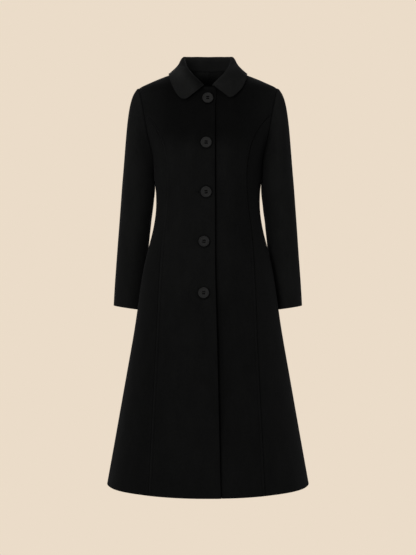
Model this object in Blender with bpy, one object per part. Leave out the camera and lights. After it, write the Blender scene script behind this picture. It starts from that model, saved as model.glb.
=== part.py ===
"""Long single-breasted coat, A-line with curved armhole seams, filled out and hollow.

Metres, +Z up.  The front faces -Y and +X is the wearer's left.  The origin is
the middle of the neck at the height of the back neck seam.  All the sizes below
are millimetres and degrees; MM turns them into metres when a mesh is made.
"""
import math

import bmesh
import bpy
import numpy as np

# ---------------------------------------------------------------- sizes (mm)
MM = 0.001
WALL = 2.5            # thickness of the coating
SEAM = 0.3            # gap left between two sewn pieces
LAP_GAP = 0.8         # air between the lapped front and the one under it
UNDERLAP = 22.0       # how far the under front runs past the centre line
LAP_EASE = (4.0, 32.0)  # the under front comes up to the surface over this width
COLLAR_WALL = (3.6, 2.6)   # the collar is two layers pressed together: stand and roll, edge
COLLAR_RISE = (0.9, 3.0)  # collar above the neck edge that it is sewn to: behind, in front
COLLAR_CLEAR = 1.3    # air under the fall of the collar
LEAF_DROP = 2.2       # right collar tip hangs this much lower, left this much higher
SIDE_SEAM = (90.0, 97.0)   # side seam angle at the armpit and at the hem
PRINCESS_TOP = -136.0      # height where the curved seam meets the armhole
NECK_POINT = -2.0          # height of the shoulder seam at the neck

BUTTON_R = 14.8
BUTTON_RIM = 2.6
BUTTON_H = 4.6
BUTTON_DISH = 1.3
BUTTON_HOLE_R = 1.15
BUTTON_HOLE_PITCH = 4.6
BUTTON_LIFT = 0.6

FRONT_COLUMNS = 7
SIDE_COLUMNS = 6
BACK_COLUMNS = 9

# Horizontal rings of the body: height, half width, y of the centre front,
# y of the centre back, y of the widest line.
RINGS = (
    (0.0, 67.5, -48.0, 66.0, 0.0),
    (-10.0, 87.5, -60.0, 70.0, 0.0),
    (-22.0, 115.0, -72.5, 75.0, 0.0),
    (-33.0, 143.3, -80.5, 79.0, 0.0),
    (-44.2, 169.2, -86.0, 82.5, 0.0),
    (-55.4, 191.3, -90.0, 86.0, 0.0),
    (-70.0, 199.5, -91.5, 90.0, 0.0),
    (-90.0, 202.0, -94.5, 95.0, 0.0),
    (-110.0, 200.5, -99.0, 99.0, 0.0),
    (-139.0, 195.5, -107.3, 103.0, 0.0),
    (-167.0, 187.5, -116.0, 104.8, 0.0),
    (-195.0, 177.5, -123.0, 105.4, 0.0),
    (-222.0, 167.0, -126.0, 105.0, -0.5),
    (-250.0, 157.6, -125.6, 103.6, -2.0),
    (-280.3, 152.0, -123.0, 101.2, -4.0),
    (-310.0, 149.9, -118.8, 98.0, -5.5),
    (-340.0, 146.0, -113.6, 94.8, -7.0),
    (-369.0, 144.4, -109.0, 92.4, -8.0),
    (-397.0, 145.0, -107.0, 91.6, -9.0),
    (-425.0, 148.0, -107.5, 93.4, -10.5),
    (-453.0, 153.0, -109.5, 97.4, -12.0),
    (-509.0, 167.0, -116.0, 109.5, -14.0),
    (-564.0, 179.8, -123.5, 122.0, -15.0),
    (-649.0, 192.8, -136.0, 137.5, -16.0),
    (-732.0, 204.8, -148.0, 149.0, -16.0),
    (-816.0, 219.3, -160.0, 160.0, -16.0),
    (-927.0, 238.9, -176.0, 174.5, -16.0),
    (-1039.0, 258.7, -192.0, 188.5, -16.0),
    (-1164.6, 281.3, -210.0, 205.0, -16.0),
)
HEM = RINGS[-1][0]
HEM_RISE = 3.6        # the hem is this much higher at the sides than in the middle

# Neckline: ring angle from the centre front, height.
NECK = ((0.0, -64.0), (4.5, -63.1), (9.0, -58.8), (15.0, -48.5), (21.0, -38.0),
        (31.0, -24.5), (46.0, -12.0), (65.0, -5.5), (90.0, NECK_POINT),
        (135.0, -0.5), (180.0, 0.0))

# Armhole, front half from the shoulder down: height, ring angle.  The back half
# has the same heights at 180 degrees less the angle.
ARMHOLE = ((-55.0, 90.0), (-60.0, 77.5), (-72.0, 71.0), (-98.0, 65.8),
           (PRINCESS_TOP, 64.3), (-160.0, 65.4), (-190.0, 68.4), (-222.0, 72.6),
           (-250.0, 76.8), (-268.0, 81.0), (-277.0, 85.2), (-280.3, 90.0))

# Seam lines down the front: height, x of the overlapping edge, x of the
# princess seam.
FRONT_SEAMS = (
    (-64.0, 21.0, 230.0),
    (PRINCESS_TOP, 19.0, 176.5),
    (-154.7, 19.0, 156.0),
    (-172.4, 19.0, 142.0),
    (-192.7, 19.1, 129.3),
    (-218.0, 19.3, 118.2),
    (-248.6, 19.5, 110.6),
    (-280.0, 19.7, 105.6),
    (-316.0, 19.9, 104.4),
    (-367.0, 20.2, 107.0),
    (-456.0, 20.7, 116.6),
    (-565.0, 21.9, 124.8),
    (-727.0, 25.4, 132.5),
    (-912.0, 29.0, 141.0),
    (HEM, 35.3, 151.5),
)

# Rows of the panels below the princess point: height on the princess seam and
# at the centre back, height on the armhole or side seam.
ROWS = ((-139.0, -139.0), (-163.0, -160.0), (-190.0, -190.0), (-219.0, -222.0),
        (-247.0, -250.0), (-272.0, -268.0), (-292.0, -277.0), (-312.0, -280.3),
        (-336.0, -314.0), (-362.0, -348.0), (-390.0, -384.0), (-422.0, -420.0),
        (-460.0, -460.0), (-508.0, -508.0), (-565.0, -565.0), (-640.0, -640.0),
        (-735.0, -735.0), (-850.0, -850.0), (-1000.0, -1000.0), (HEM, HEM))
ARMPIT_ROW = 7
SHOULDER_STEPS = 5

# Sleeve sections from the upper arm down: height, x of the outer side, x of the
# inner side, y of the middle, half depth, rise of the section towards the outside.
SLEEVE = (
    (-302.0, 238.4, 151.2, 10.0, 66.0, 0.04),
    (-325.0, 240.6, 149.0, 12.5, 65.0, 0.05),
    (-345.0, 242.3, 149.9, 15.0, 64.0, 0.06),
    (-396.0, 246.4, 155.8, 20.5, 61.5, 0.08),
    (-452.0, 251.0, 162.8, 27.0, 58.5, 0.10),
    (-508.0, 255.9, 169.0, 33.0, 56.0, 0.12),
    (-565.0, 260.4, 175.6, 39.0, 53.5, 0.14),
    (-620.0, 264.6, 181.6, 44.0, 51.5, 0.15),
    (-669.5, 267.8, 187.0, 48.0, 50.0, 0.15),
)
CAP_STEPS = (0.0, 0.10, 0.24, 0.40, 0.58, 0.78, 1.0)
CAP_OUT = (5.0, 27.0)     # how far the cap leaves the armhole: armpit, extra at the top
CAP_DROP = (10.0, 14.0)   # fall of the first handle at the top, extra at the front and back
CAP_HANG = (9.0, 131.0)   # length of the last handle: armpit, extra at the top

# Collar, centre back to front end: neck angle, then the roll line, the middle
# of the fall and its outer edge as x, y, z.
COLLAR = (
    (180.0, (0.0, 69.0, 41.0), (0.0, 81.0, 13.0), (0.0, 90.0, -12.0)),
    (150.0, (36.0, 60.0, 40.5), (42.0, 70.0, 12.5), (50.0, 80.0, -13.5)),
    (120.0, (61.0, 34.0, 39.0), (71.0, 41.0, 12.0), (88.0, 46.0, -16.5)),
    (95.0, (69.0, 12.0, 34.0), (81.0, 11.0, 11.0), (107.5, 4.0, -17.5)),
    (70.0, (66.5, -12.0, 17.5), (82.5, -21.0, 2.0), (107.5, -46.0, -28.0)),
    (50.0, (62.0, -37.0, 3.0), (78.5, -48.0, -9.0), (103.5, -73.5, -45.6)),
    (33.0, (56.5, -54.5, -9.0), (71.5, -70.0, -24.0), (95.5, -85.5, -67.4)),
    (22.0, (48.0, -67.0, -23.0), (61.0, -84.5, -39.0), (83.0, -93.5, -89.0)),
    (15.0, (38.0, -79.0, -36.0), (50.0, -91.5, -53.0), (66.0, -98.8, -100.2)),
    (9.5, (24.5, -89.5, -50.0), (33.0, -97.3, -63.0), (43.0, -99.6, -88.5)),
    (3.5, (11.3, -95.5, -58.0), (12.0, -98.8, -63.0), (12.8, -98.8, -69.0)),
)
COLLAR_STATIONS = 21
ROLL_BOW = (2.5, 4.0, 5.0, 5.0)   # how the roll is rounded: in, below, out, below

# Buttons: x, height.
BUTTONS = ((-0.6, -97.4), (-5.4, -220.4), (-5.7, -353.4), (-11.1, -488.5), (-12.1, -627.4))

WOOL = (0.0052, 0.0051, 0.0052, 1.0)
COLLAR_WOOL = (0.0070, 0.0069, 0.0070, 1.0)
HORN = (0.0150, 0.0150, 0.0155, 1.0)


# ---------------------------------------------------------------- curves
def spline(knots, values):
    """Natural cubic spline through a table; knots rise."""
    x = np.asarray(knots, float)
    y = np.asarray(values, float)
    n = len(x)
    h = np.diff(x)
    system = np.eye(n)
    right = np.zeros(n)
    for i in range(1, n - 1):
        system[i, i - 1:i + 2] = h[i - 1], 2.0 * (h[i - 1] + h[i]), h[i]
        right[i] = 6.0 * ((y[i + 1] - y[i]) / h[i] - (y[i] - y[i - 1]) / h[i - 1])
    bend = np.linalg.solve(system, right)

    def value(at):
        at = np.clip(np.asarray(at, float), x[0], x[-1])
        i = np.clip(np.searchsorted(x, at) - 1, 0, n - 2)
        p, q = x[i + 1] - at, at - x[i]
        w = h[i]
        return ((bend[i] * p ** 3 + bend[i + 1] * q ** 3) / (6.0 * w)
                + (y[i] / w - bend[i] * w / 6.0) * p
                + (y[i + 1] / w - bend[i + 1] * w / 6.0) * q)
    return value


def column(table, index):
    """Spline of one column of a table whose first column is a falling height."""
    rows = table[::-1]
    return spline([r[0] for r in rows], [r[index] for r in rows])


def through(points, count):
    """Smooth run of points through the given ones, evenly spread along it."""
    points = np.asarray(points, float)
    step = np.sqrt(np.linalg.norm(np.diff(points, axis=0), axis=1))
    at = np.concatenate(([0.0], np.cumsum(step)))
    fine = np.linspace(0.0, at[-1], 40 * len(points))
    run = np.stack([spline(at, points[:, k])(fine) for k in range(points.shape[1])], axis=1)
    return spread(run, count)


def spread(run, count):
    """Points evenly spread along a run of points."""
    length = np.concatenate(([0.0], np.cumsum(np.linalg.norm(np.diff(run, axis=0), axis=1))))
    at = np.linspace(0.0, length[-1], count)
    return np.stack([np.interp(at, length, run[:, k]) for k in range(run.shape[1])], axis=1)


# ---------------------------------------------------------------- body surface
half_width = column(RINGS, 1)
front_y = column(RINGS, 2)
back_y = column(RINGS, 3)
side_y = column(RINGS, 4)
edge_x = column(FRONT_SEAMS, 1)
princess_x = column(FRONT_SEAMS[1:], 2)
neck_z = spline([r[0] for r in NECK], [r[1] for r in NECK])


def body(angle, z):
    """Point of the body's outer surface at a ring angle (degrees) and height."""
    t = np.radians(angle)
    c = np.cos(t)
    side = side_y(z)
    depth = np.where(c >= 0.0, side - front_y(z), back_y(z) - side)
    return np.stack(np.broadcast_arrays(half_width(z) * np.sin(t), side - depth * c,
                                        np.asarray(z, float)), axis=-1)


def body_normal(angle, z):
    """Outward unit normal of the body surface."""
    along = body(angle + 0.05, z) - body(angle - 0.05, z)
    up = body(angle, z + 0.05) - body(angle, z - 0.05)
    n = np.cross(along, up)
    return n / np.linalg.norm(n, axis=-1, keepdims=True)


def angle_at(x, z):
    """Ring angle of a front point with the given x."""
    return np.degrees(np.arcsin(np.clip(x / half_width(z), -1.0, 1.0)))


def shift(angle, z, distance):
    """Ring angle moved by a distance along the ring."""
    per_degree = np.linalg.norm(body(angle + 0.5, z) - body(angle - 0.5, z), axis=-1)
    return angle + distance / per_degree


def off_body(points, clear):
    """Points moved out square to the body until they are clear of its surface."""
    def level(p):
        z = np.clip(p[..., 2], HEM, 0.0)
        side = side_y(z)
        y = p[..., 1] - side
        depth = np.where(y < 0.0, side - front_y(z), back_y(z) - side)
        return np.sqrt((p[..., 0] / half_width(z)) ** 2 + (y / depth) ** 2) - 1.0
    points = np.array(points, float)
    for _ in range(6):
        here = level(points)
        slope = np.stack([(level(points + d) - level(points - d)) / 0.2
                          for d in 0.1 * np.eye(3)], axis=-1)
        steep = np.linalg.norm(slope, axis=-1)
        lack = np.maximum(0.0, clear - here / steep)
        points = points + slope * (lack / steep)[..., None]
    return points


def side_angle(z):
    share = (ARMHOLE[-1][0] - z) / (ARMHOLE[-1][0] - HEM)
    return SIDE_SEAM[0] + (SIDE_SEAM[1] - SIDE_SEAM[0]) * share


# ---------------------------------------------------------------- meshes
def material(name, colour, roughness):
    mat = bpy.data.materials.new(name)
    mat.use_nodes = True
    shader = mat.node_tree.nodes["Principled BSDF"]
    shader.inputs["Base Color"].default_value = colour
    shader.inputs["Roughness"].default_value = roughness
    shader.inputs["Metallic"].default_value = 0.0
    return mat


def make_object(name, verts, faces, colour, roughness, parent):
    mesh = bpy.data.meshes.new(name)
    mesh.from_pydata([tuple(v * MM for v in p) for p in verts], [], faces)
    bm = bmesh.new()
    bm.from_mesh(mesh)
    bmesh.ops.recalc_face_normals(bm, faces=bm.faces)
    bmesh.ops.triangulate(bm, faces=bm.faces)
    bm.to_mesh(mesh)
    bm.free()
    mesh.shade_smooth()
    mesh.set_sharp_from_angle(angle=math.radians(40.0))
    mesh.materials.append(material(name + "_finish", colour, roughness))
    obj = bpy.data.objects.new(name, mesh)
    bpy.context.collection.objects.link(obj)
    obj.parent = parent
    return obj


def wall_faces(rows, cols, closed):
    """Faces of a wall with an outer and an inner grid; closed joins the columns round."""
    outer = lambda i, j: i * cols + (j % cols)
    inner = lambda i, j: rows * cols + outer(i, j)
    spans = cols if closed else cols - 1
    faces = []
    for i in range(rows - 1):
        for j in range(spans):
            faces.append((outer(i, j), outer(i, j + 1), outer(i + 1, j + 1), outer(i + 1, j)))
            faces.append((inner(i, j), inner(i + 1, j), inner(i + 1, j + 1), inner(i, j + 1)))
    for j in range(spans):
        for i in (0, rows - 1):
            faces.append((outer(i, j), outer(i, j + 1), inner(i, j + 1), inner(i, j)))
    if not closed:
        for i in range(rows - 1):
            for j in (0, cols - 1):
                faces.append((outer(i, j), outer(i + 1, j), inner(i + 1, j), inner(i, j)))
    return faces


def wall(name, outer, inner, parent, closed=False, colour=WOOL):
    rows, cols = outer.shape[:2]
    verts = np.concatenate((outer.reshape(-1, 3), inner.reshape(-1, 3)))
    return make_object(name, verts, wall_faces(rows, cols, closed), colour, 0.92, parent)


# ---------------------------------------------------------------- body panels
def coons(bottom, top, inner, outer):
    """Grid between four edges given as runs of (angle, height)."""
    def shares(run):
        step = np.linalg.norm(np.diff(body(run[:, 0], run[:, 1]), axis=0), axis=1)
        at = np.concatenate(([0.0], np.cumsum(step)))
        return at / at[-1]
    u = np.linspace(0.0, 1.0, len(bottom))[None, :, None]
    v = shares(outer)[:, None, None]
    across = (1 - v) * bottom[None] + v * top[None]
    along = (1 - u) * inner[:, None] + u * outer[:, None]
    corners = ((1 - u) * (1 - v) * bottom[0] + u * (1 - v) * bottom[-1]
               + (1 - u) * v * top[0] + u * v * top[-1])
    return across + along - corners


def edge_by_shares(run, like):
    """Points along a run at the same shares of length as another run has."""
    def lengths(r):
        p = body(r[:, 0], r[:, 1])
        at = np.concatenate(([0.0], np.cumsum(np.linalg.norm(np.diff(p, axis=0), axis=1))))
        return at / at[-1]
    own, want = lengths(run), lengths(like)
    return np.stack([np.interp(want, own, run[:, k]) for k in (0, 1)], axis=1)


def yoke_edge(back):
    """Armhole above the princess point, then the shoulder seam, up to the neck."""
    arm = [(180.0 - a if back else a, z) for z, a in ARMHOLE[4::-1]]
    seam = 90.0 + (0.5 if back else -0.5) * math.degrees(SEAM / 80.0)
    heights = np.linspace(ARMHOLE[0][0], NECK_POINT, SHOULDER_STEPS + 1)[1:]
    edge = np.array(arm + [(seam, z) for z in heights])
    edge[4, 0] = seam
    return edge


def front_grid(start_x, columns):
    """Centre front from the edge at start_x(height) to the princess seam, hem to shoulder."""
    rows = []
    share = np.linspace(0.0, 1.0, columns)
    for z, _ in ROWS[::-1]:
        first = angle_at(start_x(z), z)
        last = shift(angle_at(princess_x(z), z), z, -SEAM / 2)
        rows.append(np.stack((first + (last - first) * share, np.full(columns, z)), axis=1))
    outer = yoke_edge(False)
    base = np.stack((angle_at(start_x(PRINCESS_TOP), PRINCESS_TOP)
                     + (outer[0, 0] - angle_at(start_x(PRINCESS_TOP), PRINCESS_TOP)) * share,
                     np.full(columns, PRINCESS_TOP)), axis=1)
    top_x = float(start_x(NECK[0][1]))
    top_angle = float(angle_at(top_x, NECK[0][1]))
    line = np.linspace(top_angle, outer[-1, 0], 200)
    neck = np.stack((line, neck_z(np.abs(line))), axis=1)
    fine = body(neck[:, 0], neck[:, 1])
    length = np.concatenate(([0.0], np.cumsum(np.linalg.norm(np.diff(fine, axis=0), axis=1))))
    at = np.linspace(0.0, length[-1], columns)
    top = np.stack([np.interp(at, length, neck[:, k]) for k in (0, 1)], axis=1)
    edge_z = np.linspace(PRINCESS_TOP, top[0, 1], 60)
    inner_run = np.stack((angle_at(start_x(edge_z), edge_z), edge_z), axis=1)
    inner_run[-1] = top[0]
    inner = edge_by_shares(inner_run, outer)
    return np.concatenate((np.array(rows), coons(base, top, inner, outer)))


def side_front_grid(columns):
    rows = []
    share = np.linspace(0.0, 1.0, columns)
    arm = {z: a for z, a in ARMHOLE}
    arm_angle = spline([z for z, a in ARMHOLE[:3:-1]], [a for z, a in ARMHOLE[:3:-1]])
    for i, (z_in, z_out) in enumerate(ROWS):
        first = shift(angle_at(princess_x(z_in), z_in), z_in, SEAM / 2)
        if i < ARMPIT_ROW:
            last = arm.get(z_out, float(arm_angle(z_out)))
        else:
            last = shift(side_angle(z_out), z_out, -SEAM / 2)
        rows.append(np.stack((first + (last - first) * share,
                              z_in + (z_out - z_in) * share), axis=1))
    return np.array(rows[::-1])


def back_grid(columns):
    rows = []
    share = np.linspace(0.0, 1.0, columns)
    arm = {z: 180.0 - a for z, a in ARMHOLE}
    for i, (z_mid, z_out) in enumerate(ROWS[1:], start=1):
        if i < ARMPIT_ROW:
            first = arm[z_out]
        else:
            first = shift(side_angle(z_out), z_out, SEAM / 2)
        last = shift(180.0, z_mid, -SEAM / 2)
        rows.append(np.stack((first + (last - first) * share,
                              z_out + (z_mid - z_out) * share), axis=1))
    outer = yoke_edge(True)
    base = np.stack((outer[0, 0] + (shift(180.0, PRINCESS_TOP, -SEAM / 2) - outer[0, 0]) * share,
                     np.full(columns, PRINCESS_TOP)), axis=1)
    line = np.linspace(outer[-1, 0], shift(180.0, 0.0, -SEAM / 2), columns)
    top = np.stack((line, neck_z(line)), axis=1)
    middle_z = np.linspace(PRINCESS_TOP, 0.0, 40)
    middle = np.stack((shift(180.0, middle_z, -SEAM / 2), middle_z), axis=1)
    middle = edge_by_shares(middle, outer)
    return np.concatenate((np.array(rows[::-1]), coons(base, top, outer, middle)))


def lap_depth(x, z):
    """How deep the under front lies below the surface at x."""
    reach = np.clip((x - edge_x(z) - LAP_EASE[0]) / (LAP_EASE[1] - LAP_EASE[0]), 0.0, 1.0)
    return (WALL + LAP_GAP) * (1.0 - reach * reach * (3.0 - 2.0 * reach))


def panel(name, grid, parent, side, under=False):
    """Wall of the coating on a grid of (angle, height); side -1 is the wearer's right."""
    angle, z = grid[..., 0], grid[..., 1].copy()
    z[0] += HEM_RISE * np.sin(np.radians(angle[0])) ** 2
    surface = body(angle, z)
    normal = body_normal(angle, z)
    sink = lap_depth(surface[..., 0], z)[..., None] if under else 0.0
    outer = surface - normal * sink
    inner = surface - normal * (sink + WALL)
    turn = np.array((side, 1.0, 1.0))
    return wall(name, outer * turn, inner * turn, parent)


# ---------------------------------------------------------------- sleeve
def sleeve_grid():
    """Outer surface of the wearer's left sleeve and the body normals at its start."""
    front = [(a, z) for z, a in ARMHOLE]
    back = [(180.0 - a, z) for z, a in ARMHOLE[-2:0:-1]]
    loop = np.array(front + back)
    start = body(loop[:, 0], loop[:, 1])
    first_normal = body_normal(loop[:, 0], loop[:, 1])
    tangent = np.roll(start, -1, axis=0) - np.roll(start, 1, axis=0)
    inward = np.cross(first_normal, tangent)
    inward /= np.linalg.norm(inward, axis=1, keepdims=True)
    inward *= np.sign(np.sum(inward * (start.mean(axis=0) - start), axis=1, keepdims=True))
    start = start + inward * (1.3 * SEAM)
    # angle round the sleeve: 0 at the shoulder, 180 at the armpit, front first
    step = np.linalg.norm(np.roll(start, -1, axis=0) - start, axis=1)
    half = len(front) - 1
    down = np.concatenate(([0.0], np.cumsum(step[:half])))
    up = np.concatenate(([0.0], np.cumsum(step[half:])))
    turn = np.concatenate((180.0 * down / down[-1], 180.0 + 180.0 * up[1:-1] / up[-1]))
    psi = np.radians(turn)

    sections = []
    for z, out_x, in_x, mid_y, depth, rise in SLEEVE:
        mid_x, half_x = 0.5 * (out_x + in_x), 0.5 * (out_x - in_x)
        x = mid_x + half_x * np.cos(psi)
        y = mid_y - depth * np.sin(psi)
        sections.append(np.stack((x, y, z + rise * (x - mid_x)), axis=1))
    arrive = sections[0]
    hang = sections[0] - sections[2]
    hang /= np.linalg.norm(hang, axis=1, keepdims=True)
    top = 0.5 * (1.0 + np.cos(psi))
    leave = np.stack((CAP_OUT[0] + CAP_OUT[1] * top,
                      -8.0 * np.sin(psi),
                      -CAP_DROP[0] * top - CAP_DROP[1] * np.abs(np.sin(psi)) + 2.0 * (1.0 - top)),
                     axis=1)
    handle1 = start + leave
    handle2 = arrive + hang * (CAP_HANG[0] + CAP_HANG[1] * top ** 1.3)[:, None]
    rows = []
    for s in CAP_STEPS:
        rows.append((1 - s) ** 3 * start + 3 * s * (1 - s) ** 2 * handle1
                    + 3 * s * s * (1 - s) * handle2 + s ** 3 * arrive)
    return np.array(rows + sections[1:]), first_normal


def grid_normals(grid, closed):
    """Unit normals of a grid of points, from its neighbours."""
    down = np.gradient(grid, axis=0)
    if closed:
        across = np.roll(grid, -1, axis=1) - np.roll(grid, 1, axis=1)
    else:
        across = np.gradient(grid, axis=1)
    n = np.cross(down, across)
    return n / np.linalg.norm(n, axis=-1, keepdims=True)


def sleeve(name, parent, side):
    outer, start_normal = sleeve_grid()
    normal = grid_normals(outer, True)
    middle = outer.mean(axis=1, keepdims=True)
    facing = np.sum((outer - middle) * normal)
    if facing < 0.0:
        normal = -normal
    normal[0] = start_normal
    inner = outer - normal * WALL
    turn = np.array((side, 1.0, 1.0))
    return wall(name, outer * turn, inner * turn, parent, closed=True)


# ---------------------------------------------------------------- collar
def stand_axes(neck, roll, mid):
    """Direction up the stand and the one square to it, towards the fall."""
    up = (roll - neck) / np.linalg.norm(roll - neck)
    out = mid - roll
    out = out - up * np.dot(out, up)
    return up, out / np.linalg.norm(out)


def collar_line(row):
    """Middle line of the collar at one station: up the stand, over the roll, down the fall."""
    neck, roll, mid, edge = row
    tall = np.linalg.norm(roll - neck)
    up, out = stand_axes(neck, roll, mid)
    size = min(1.0, max(0.35, tall / 20.0))
    before = roll - size * (ROLL_BOW[0] * out + ROLL_BOW[1] * up)
    after = roll + size * (ROLL_BOW[2] * out - ROLL_BOW[3] * up)
    rise = spread(np.array((neck, before)), 4)
    fall = off_body(through((after, mid, edge), 6), 0.5 * COLLAR_WALL[1] + COLLAR_CLEAR)
    return np.concatenate((rise, roll[None], fall))


def collar_half(side):
    """Middle lines of one half of the collar, centre back first."""
    stations = []
    for angle, roll, mid, edge in COLLAR:
        z = float(neck_z(angle))
        neck = body(angle, z)
        if side > 0.0 and angle < 60.0:
            neck = neck - body_normal(angle, z) * lap_depth(neck[0], z)
        roll, mid, edge = np.array(roll), np.array(mid), np.array(edge)
        hang = min(1.0, max(0.0, edge[2] / COLLAR[8][3][2]))
        edge[2] += side * LEAF_DROP * hang ** 2
        up, out = stand_axes(neck, roll, mid)
        rise = COLLAR_RISE[0 if angle > 60.0 else 1]
        seat = neck + up * rise - out * (0.5 * COLLAR_WALL[0])
        stations.append((seat, roll, mid, edge))
    stations = np.array(stations)
    at = np.arange(len(stations), dtype=float)
    want = np.linspace(0.0, at[-1], COLLAR_STATIONS)
    run = np.stack([[spline(at, stations[:, k, c])(want) for c in range(3)] for k in range(4)])
    return [collar_line(row) * np.array((side, 1.0, 1.0)) for row in np.transpose(run, (2, 0, 1))]


def collar(name, parent):
    lines = np.array(collar_half(-1.0)[::-1] + collar_half(1.0)[1:])
    normal = grid_normals(lines, False)
    thick = np.full(lines.shape[1], COLLAR_WALL[0])
    thick[-6:] = np.linspace(COLLAR_WALL[0], COLLAR_WALL[1], 6)
    outer = lines + normal * (0.5 * thick[None, :, None])
    inner = lines - normal * (0.5 * thick[None, :, None])
    return wall(name, outer, inner, parent, colour=COLLAR_WOOL)


# ---------------------------------------------------------------- buttons
def button(name, x, z, parent):
    """Turned disc with a raised rim, a dished face and four holes."""
    angle = -float(angle_at(-x, z))
    base = body(angle, z)
    normal = body_normal(angle, z)
    r, rim, h = BUTTON_R, BUTTON_RIM, BUTTON_H
    profile = ((0.0, 0.0), (r * 0.84, 0.0), (r, h * 0.45), (r - 0.5 * rim, h),
               (r - rim - 1.0, h - BUTTON_DISH), (0.0, h - BUTTON_DISH))
    mesh = bpy.data.meshes.new(name)
    bm = bmesh.new()
    ring = [bm.verts.new((p[0] * MM, 0.0, p[1] * MM)) for p in profile]
    edges = [bm.edges.new((ring[i], ring[i + 1])) for i in range(len(ring) - 1)]
    bmesh.ops.spin(bm, geom=ring + edges, cent=(0, 0, 0), axis=(0, 0, 1),
                   angle=2.0 * math.pi, steps=20, use_merge=True)
    bmesh.ops.remove_doubles(bm, verts=bm.verts, dist=0.00001)
    bmesh.ops.recalc_face_normals(bm, faces=bm.faces)
    bm.to_mesh(mesh)
    bm.free()
    mesh.materials.append(material(name + "_finish", HORN, 0.42))
    obj = bpy.data.objects.new(name, mesh)
    bpy.context.collection.objects.link(obj)

    cutter_mesh = bpy.data.meshes.new(name + "_holes")
    bm = bmesh.new()
    for sx in (-0.5, 0.5):
        for sy in (-0.5, 0.5):
            made = bmesh.ops.create_cone(bm, cap_ends=True, segments=6, radius1=BUTTON_HOLE_R * MM,
                                         radius2=BUTTON_HOLE_R * MM, depth=3.0 * h * MM)
            bmesh.ops.translate(bm, verts=made["verts"],
                                vec=(sx * BUTTON_HOLE_PITCH * MM, sy * BUTTON_HOLE_PITCH * MM, 0.0))
    bm.to_mesh(cutter_mesh)
    bm.free()
    cutter = bpy.data.objects.new(name + "_holes", cutter_mesh)
    cutter.hide_render = True
    cutter.display_type = 'WIRE'
    bpy.context.collection.objects.link(cutter)
    cut = obj.modifiers.new("holes", 'BOOLEAN')
    cut.operation = 'DIFFERENCE'
    cut.object = cutter
    cut.solver = 'EXACT'

    seat = (base + normal * BUTTON_LIFT) * MM
    tilt = math.acos(max(-1.0, min(1.0, float(normal[2]))))
    turn = math.atan2(float(normal[1]), float(normal[0]))
    for item in (obj, cutter):
        item.parent = parent
        item.location = tuple(seat)
        item.rotation_euler = (0.0, tilt, turn)
    return obj


# ---------------------------------------------------------------- assembly
for old in list(bpy.data.objects):
    bpy.data.objects.remove(old, do_unlink=True)

coat = bpy.data.objects.new("coat", None)
bpy.context.collection.objects.link(coat)

over = front_grid(lambda z: -edge_x(z), FRONT_COLUMNS + 1)
under = front_grid(lambda z: np.full_like(np.asarray(z, float), -UNDERLAP), FRONT_COLUMNS + 1)
side_front = side_front_grid(SIDE_COLUMNS)
half_back = back_grid(BACK_COLUMNS)
panel("right_front", over, coat, -1.0)
panel("left_front", under, coat, 1.0, under=True)
for label, side in (("right", -1.0), ("left", 1.0)):
    panel(label + "_side_front", side_front, coat, side)
    panel(label + "_back", half_back, coat, side)
    sleeve(label + "_sleeve", coat, side)
collar("collar", coat)
for number, (x, z) in enumerate(BUTTONS, start=1):
    button("button_%d" % number, x, z, coat)
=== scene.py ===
"""Long single-breasted wool coat: the visible shape and finish of every piece.

The tables are millimetres and degrees, in the part's own frame: +Z up, front
towards -Y, +X the wearer's left, origin in the middle of the neck at the back
neck seam.  MM turns them into metres when a mesh is made.
"""
import math

import bmesh
import bpy
import numpy as np
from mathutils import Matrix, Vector


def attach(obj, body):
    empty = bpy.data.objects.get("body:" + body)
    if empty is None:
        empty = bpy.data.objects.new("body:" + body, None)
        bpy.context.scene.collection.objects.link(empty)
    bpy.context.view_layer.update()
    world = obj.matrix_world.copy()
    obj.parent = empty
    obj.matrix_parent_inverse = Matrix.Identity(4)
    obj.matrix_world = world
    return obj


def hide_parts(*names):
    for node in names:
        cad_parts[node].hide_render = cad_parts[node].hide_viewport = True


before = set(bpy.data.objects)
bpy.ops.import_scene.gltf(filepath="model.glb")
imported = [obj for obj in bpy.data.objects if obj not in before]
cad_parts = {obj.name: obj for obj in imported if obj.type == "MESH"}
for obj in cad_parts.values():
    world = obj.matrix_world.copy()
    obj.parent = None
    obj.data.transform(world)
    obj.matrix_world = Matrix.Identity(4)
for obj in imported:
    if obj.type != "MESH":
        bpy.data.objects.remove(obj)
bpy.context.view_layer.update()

# ---------------------------------------------------------------- sizes (mm)
MM = 0.001
WALL = 2.5                 # one layer of the coating
EDGE_WALL = 4.4            # front edge, hem and sleeve ends are turned in
FACING = 42.0              # width of the turned-in front edge
HEM_TURN = 40.0            # depth of the turned-up hem
UNDERLAP = 22.0            # how far the under front runs past the centre line
# Under front: height, depth below the surface, how much deeper it falls just
# behind the edge, width of that fall.
LAP = ((-64.0, 5.2, 0.5, 3.0), (-105.0, 5.6, 2.5, 3.6), (-160.0, 6.0, 5.9, 5.4), (-420.0, 6.2, 8.0, 7.8),
       (-560.0, 6.4, 9.2, 10.0), (-660.0, 6.6, 11.5, 17.5), (-820.0, 6.8, 12.8, 22.0), (-960.0, 6.8, 11.5, 18.0),
       (-1060.0, 6.6, 8.0, 9.0), (-1166.9, 6.6, 7.0, 8.0))
LAP_EASE = (3.0, 46.0)     # and the width over which it comes back to the surface
LAP_CORNER = (5.0, 2.9, 3.6)   # the over front's corner under the collar: drop, first angle, ease
GROOVE = (1.55, 1.45)      # depth and half width of a seam's groove
DEEP_GROOVE = (2.3, 1.75)  # of the wearer's left princess seam
WELT = (0.80, 1.3, 7.6)    # topstitched welt beside the princess seam: height, start, end
STITCH_GROOVE = (0.65, 8.8, 1.0)
COLLAR_WALL = (4.0, 3.4)
COLLAR_RISE = (0.2, 2.2)
COLLAR_CLEAR = 1.3
LEAF_DROP = 2.2
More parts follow.
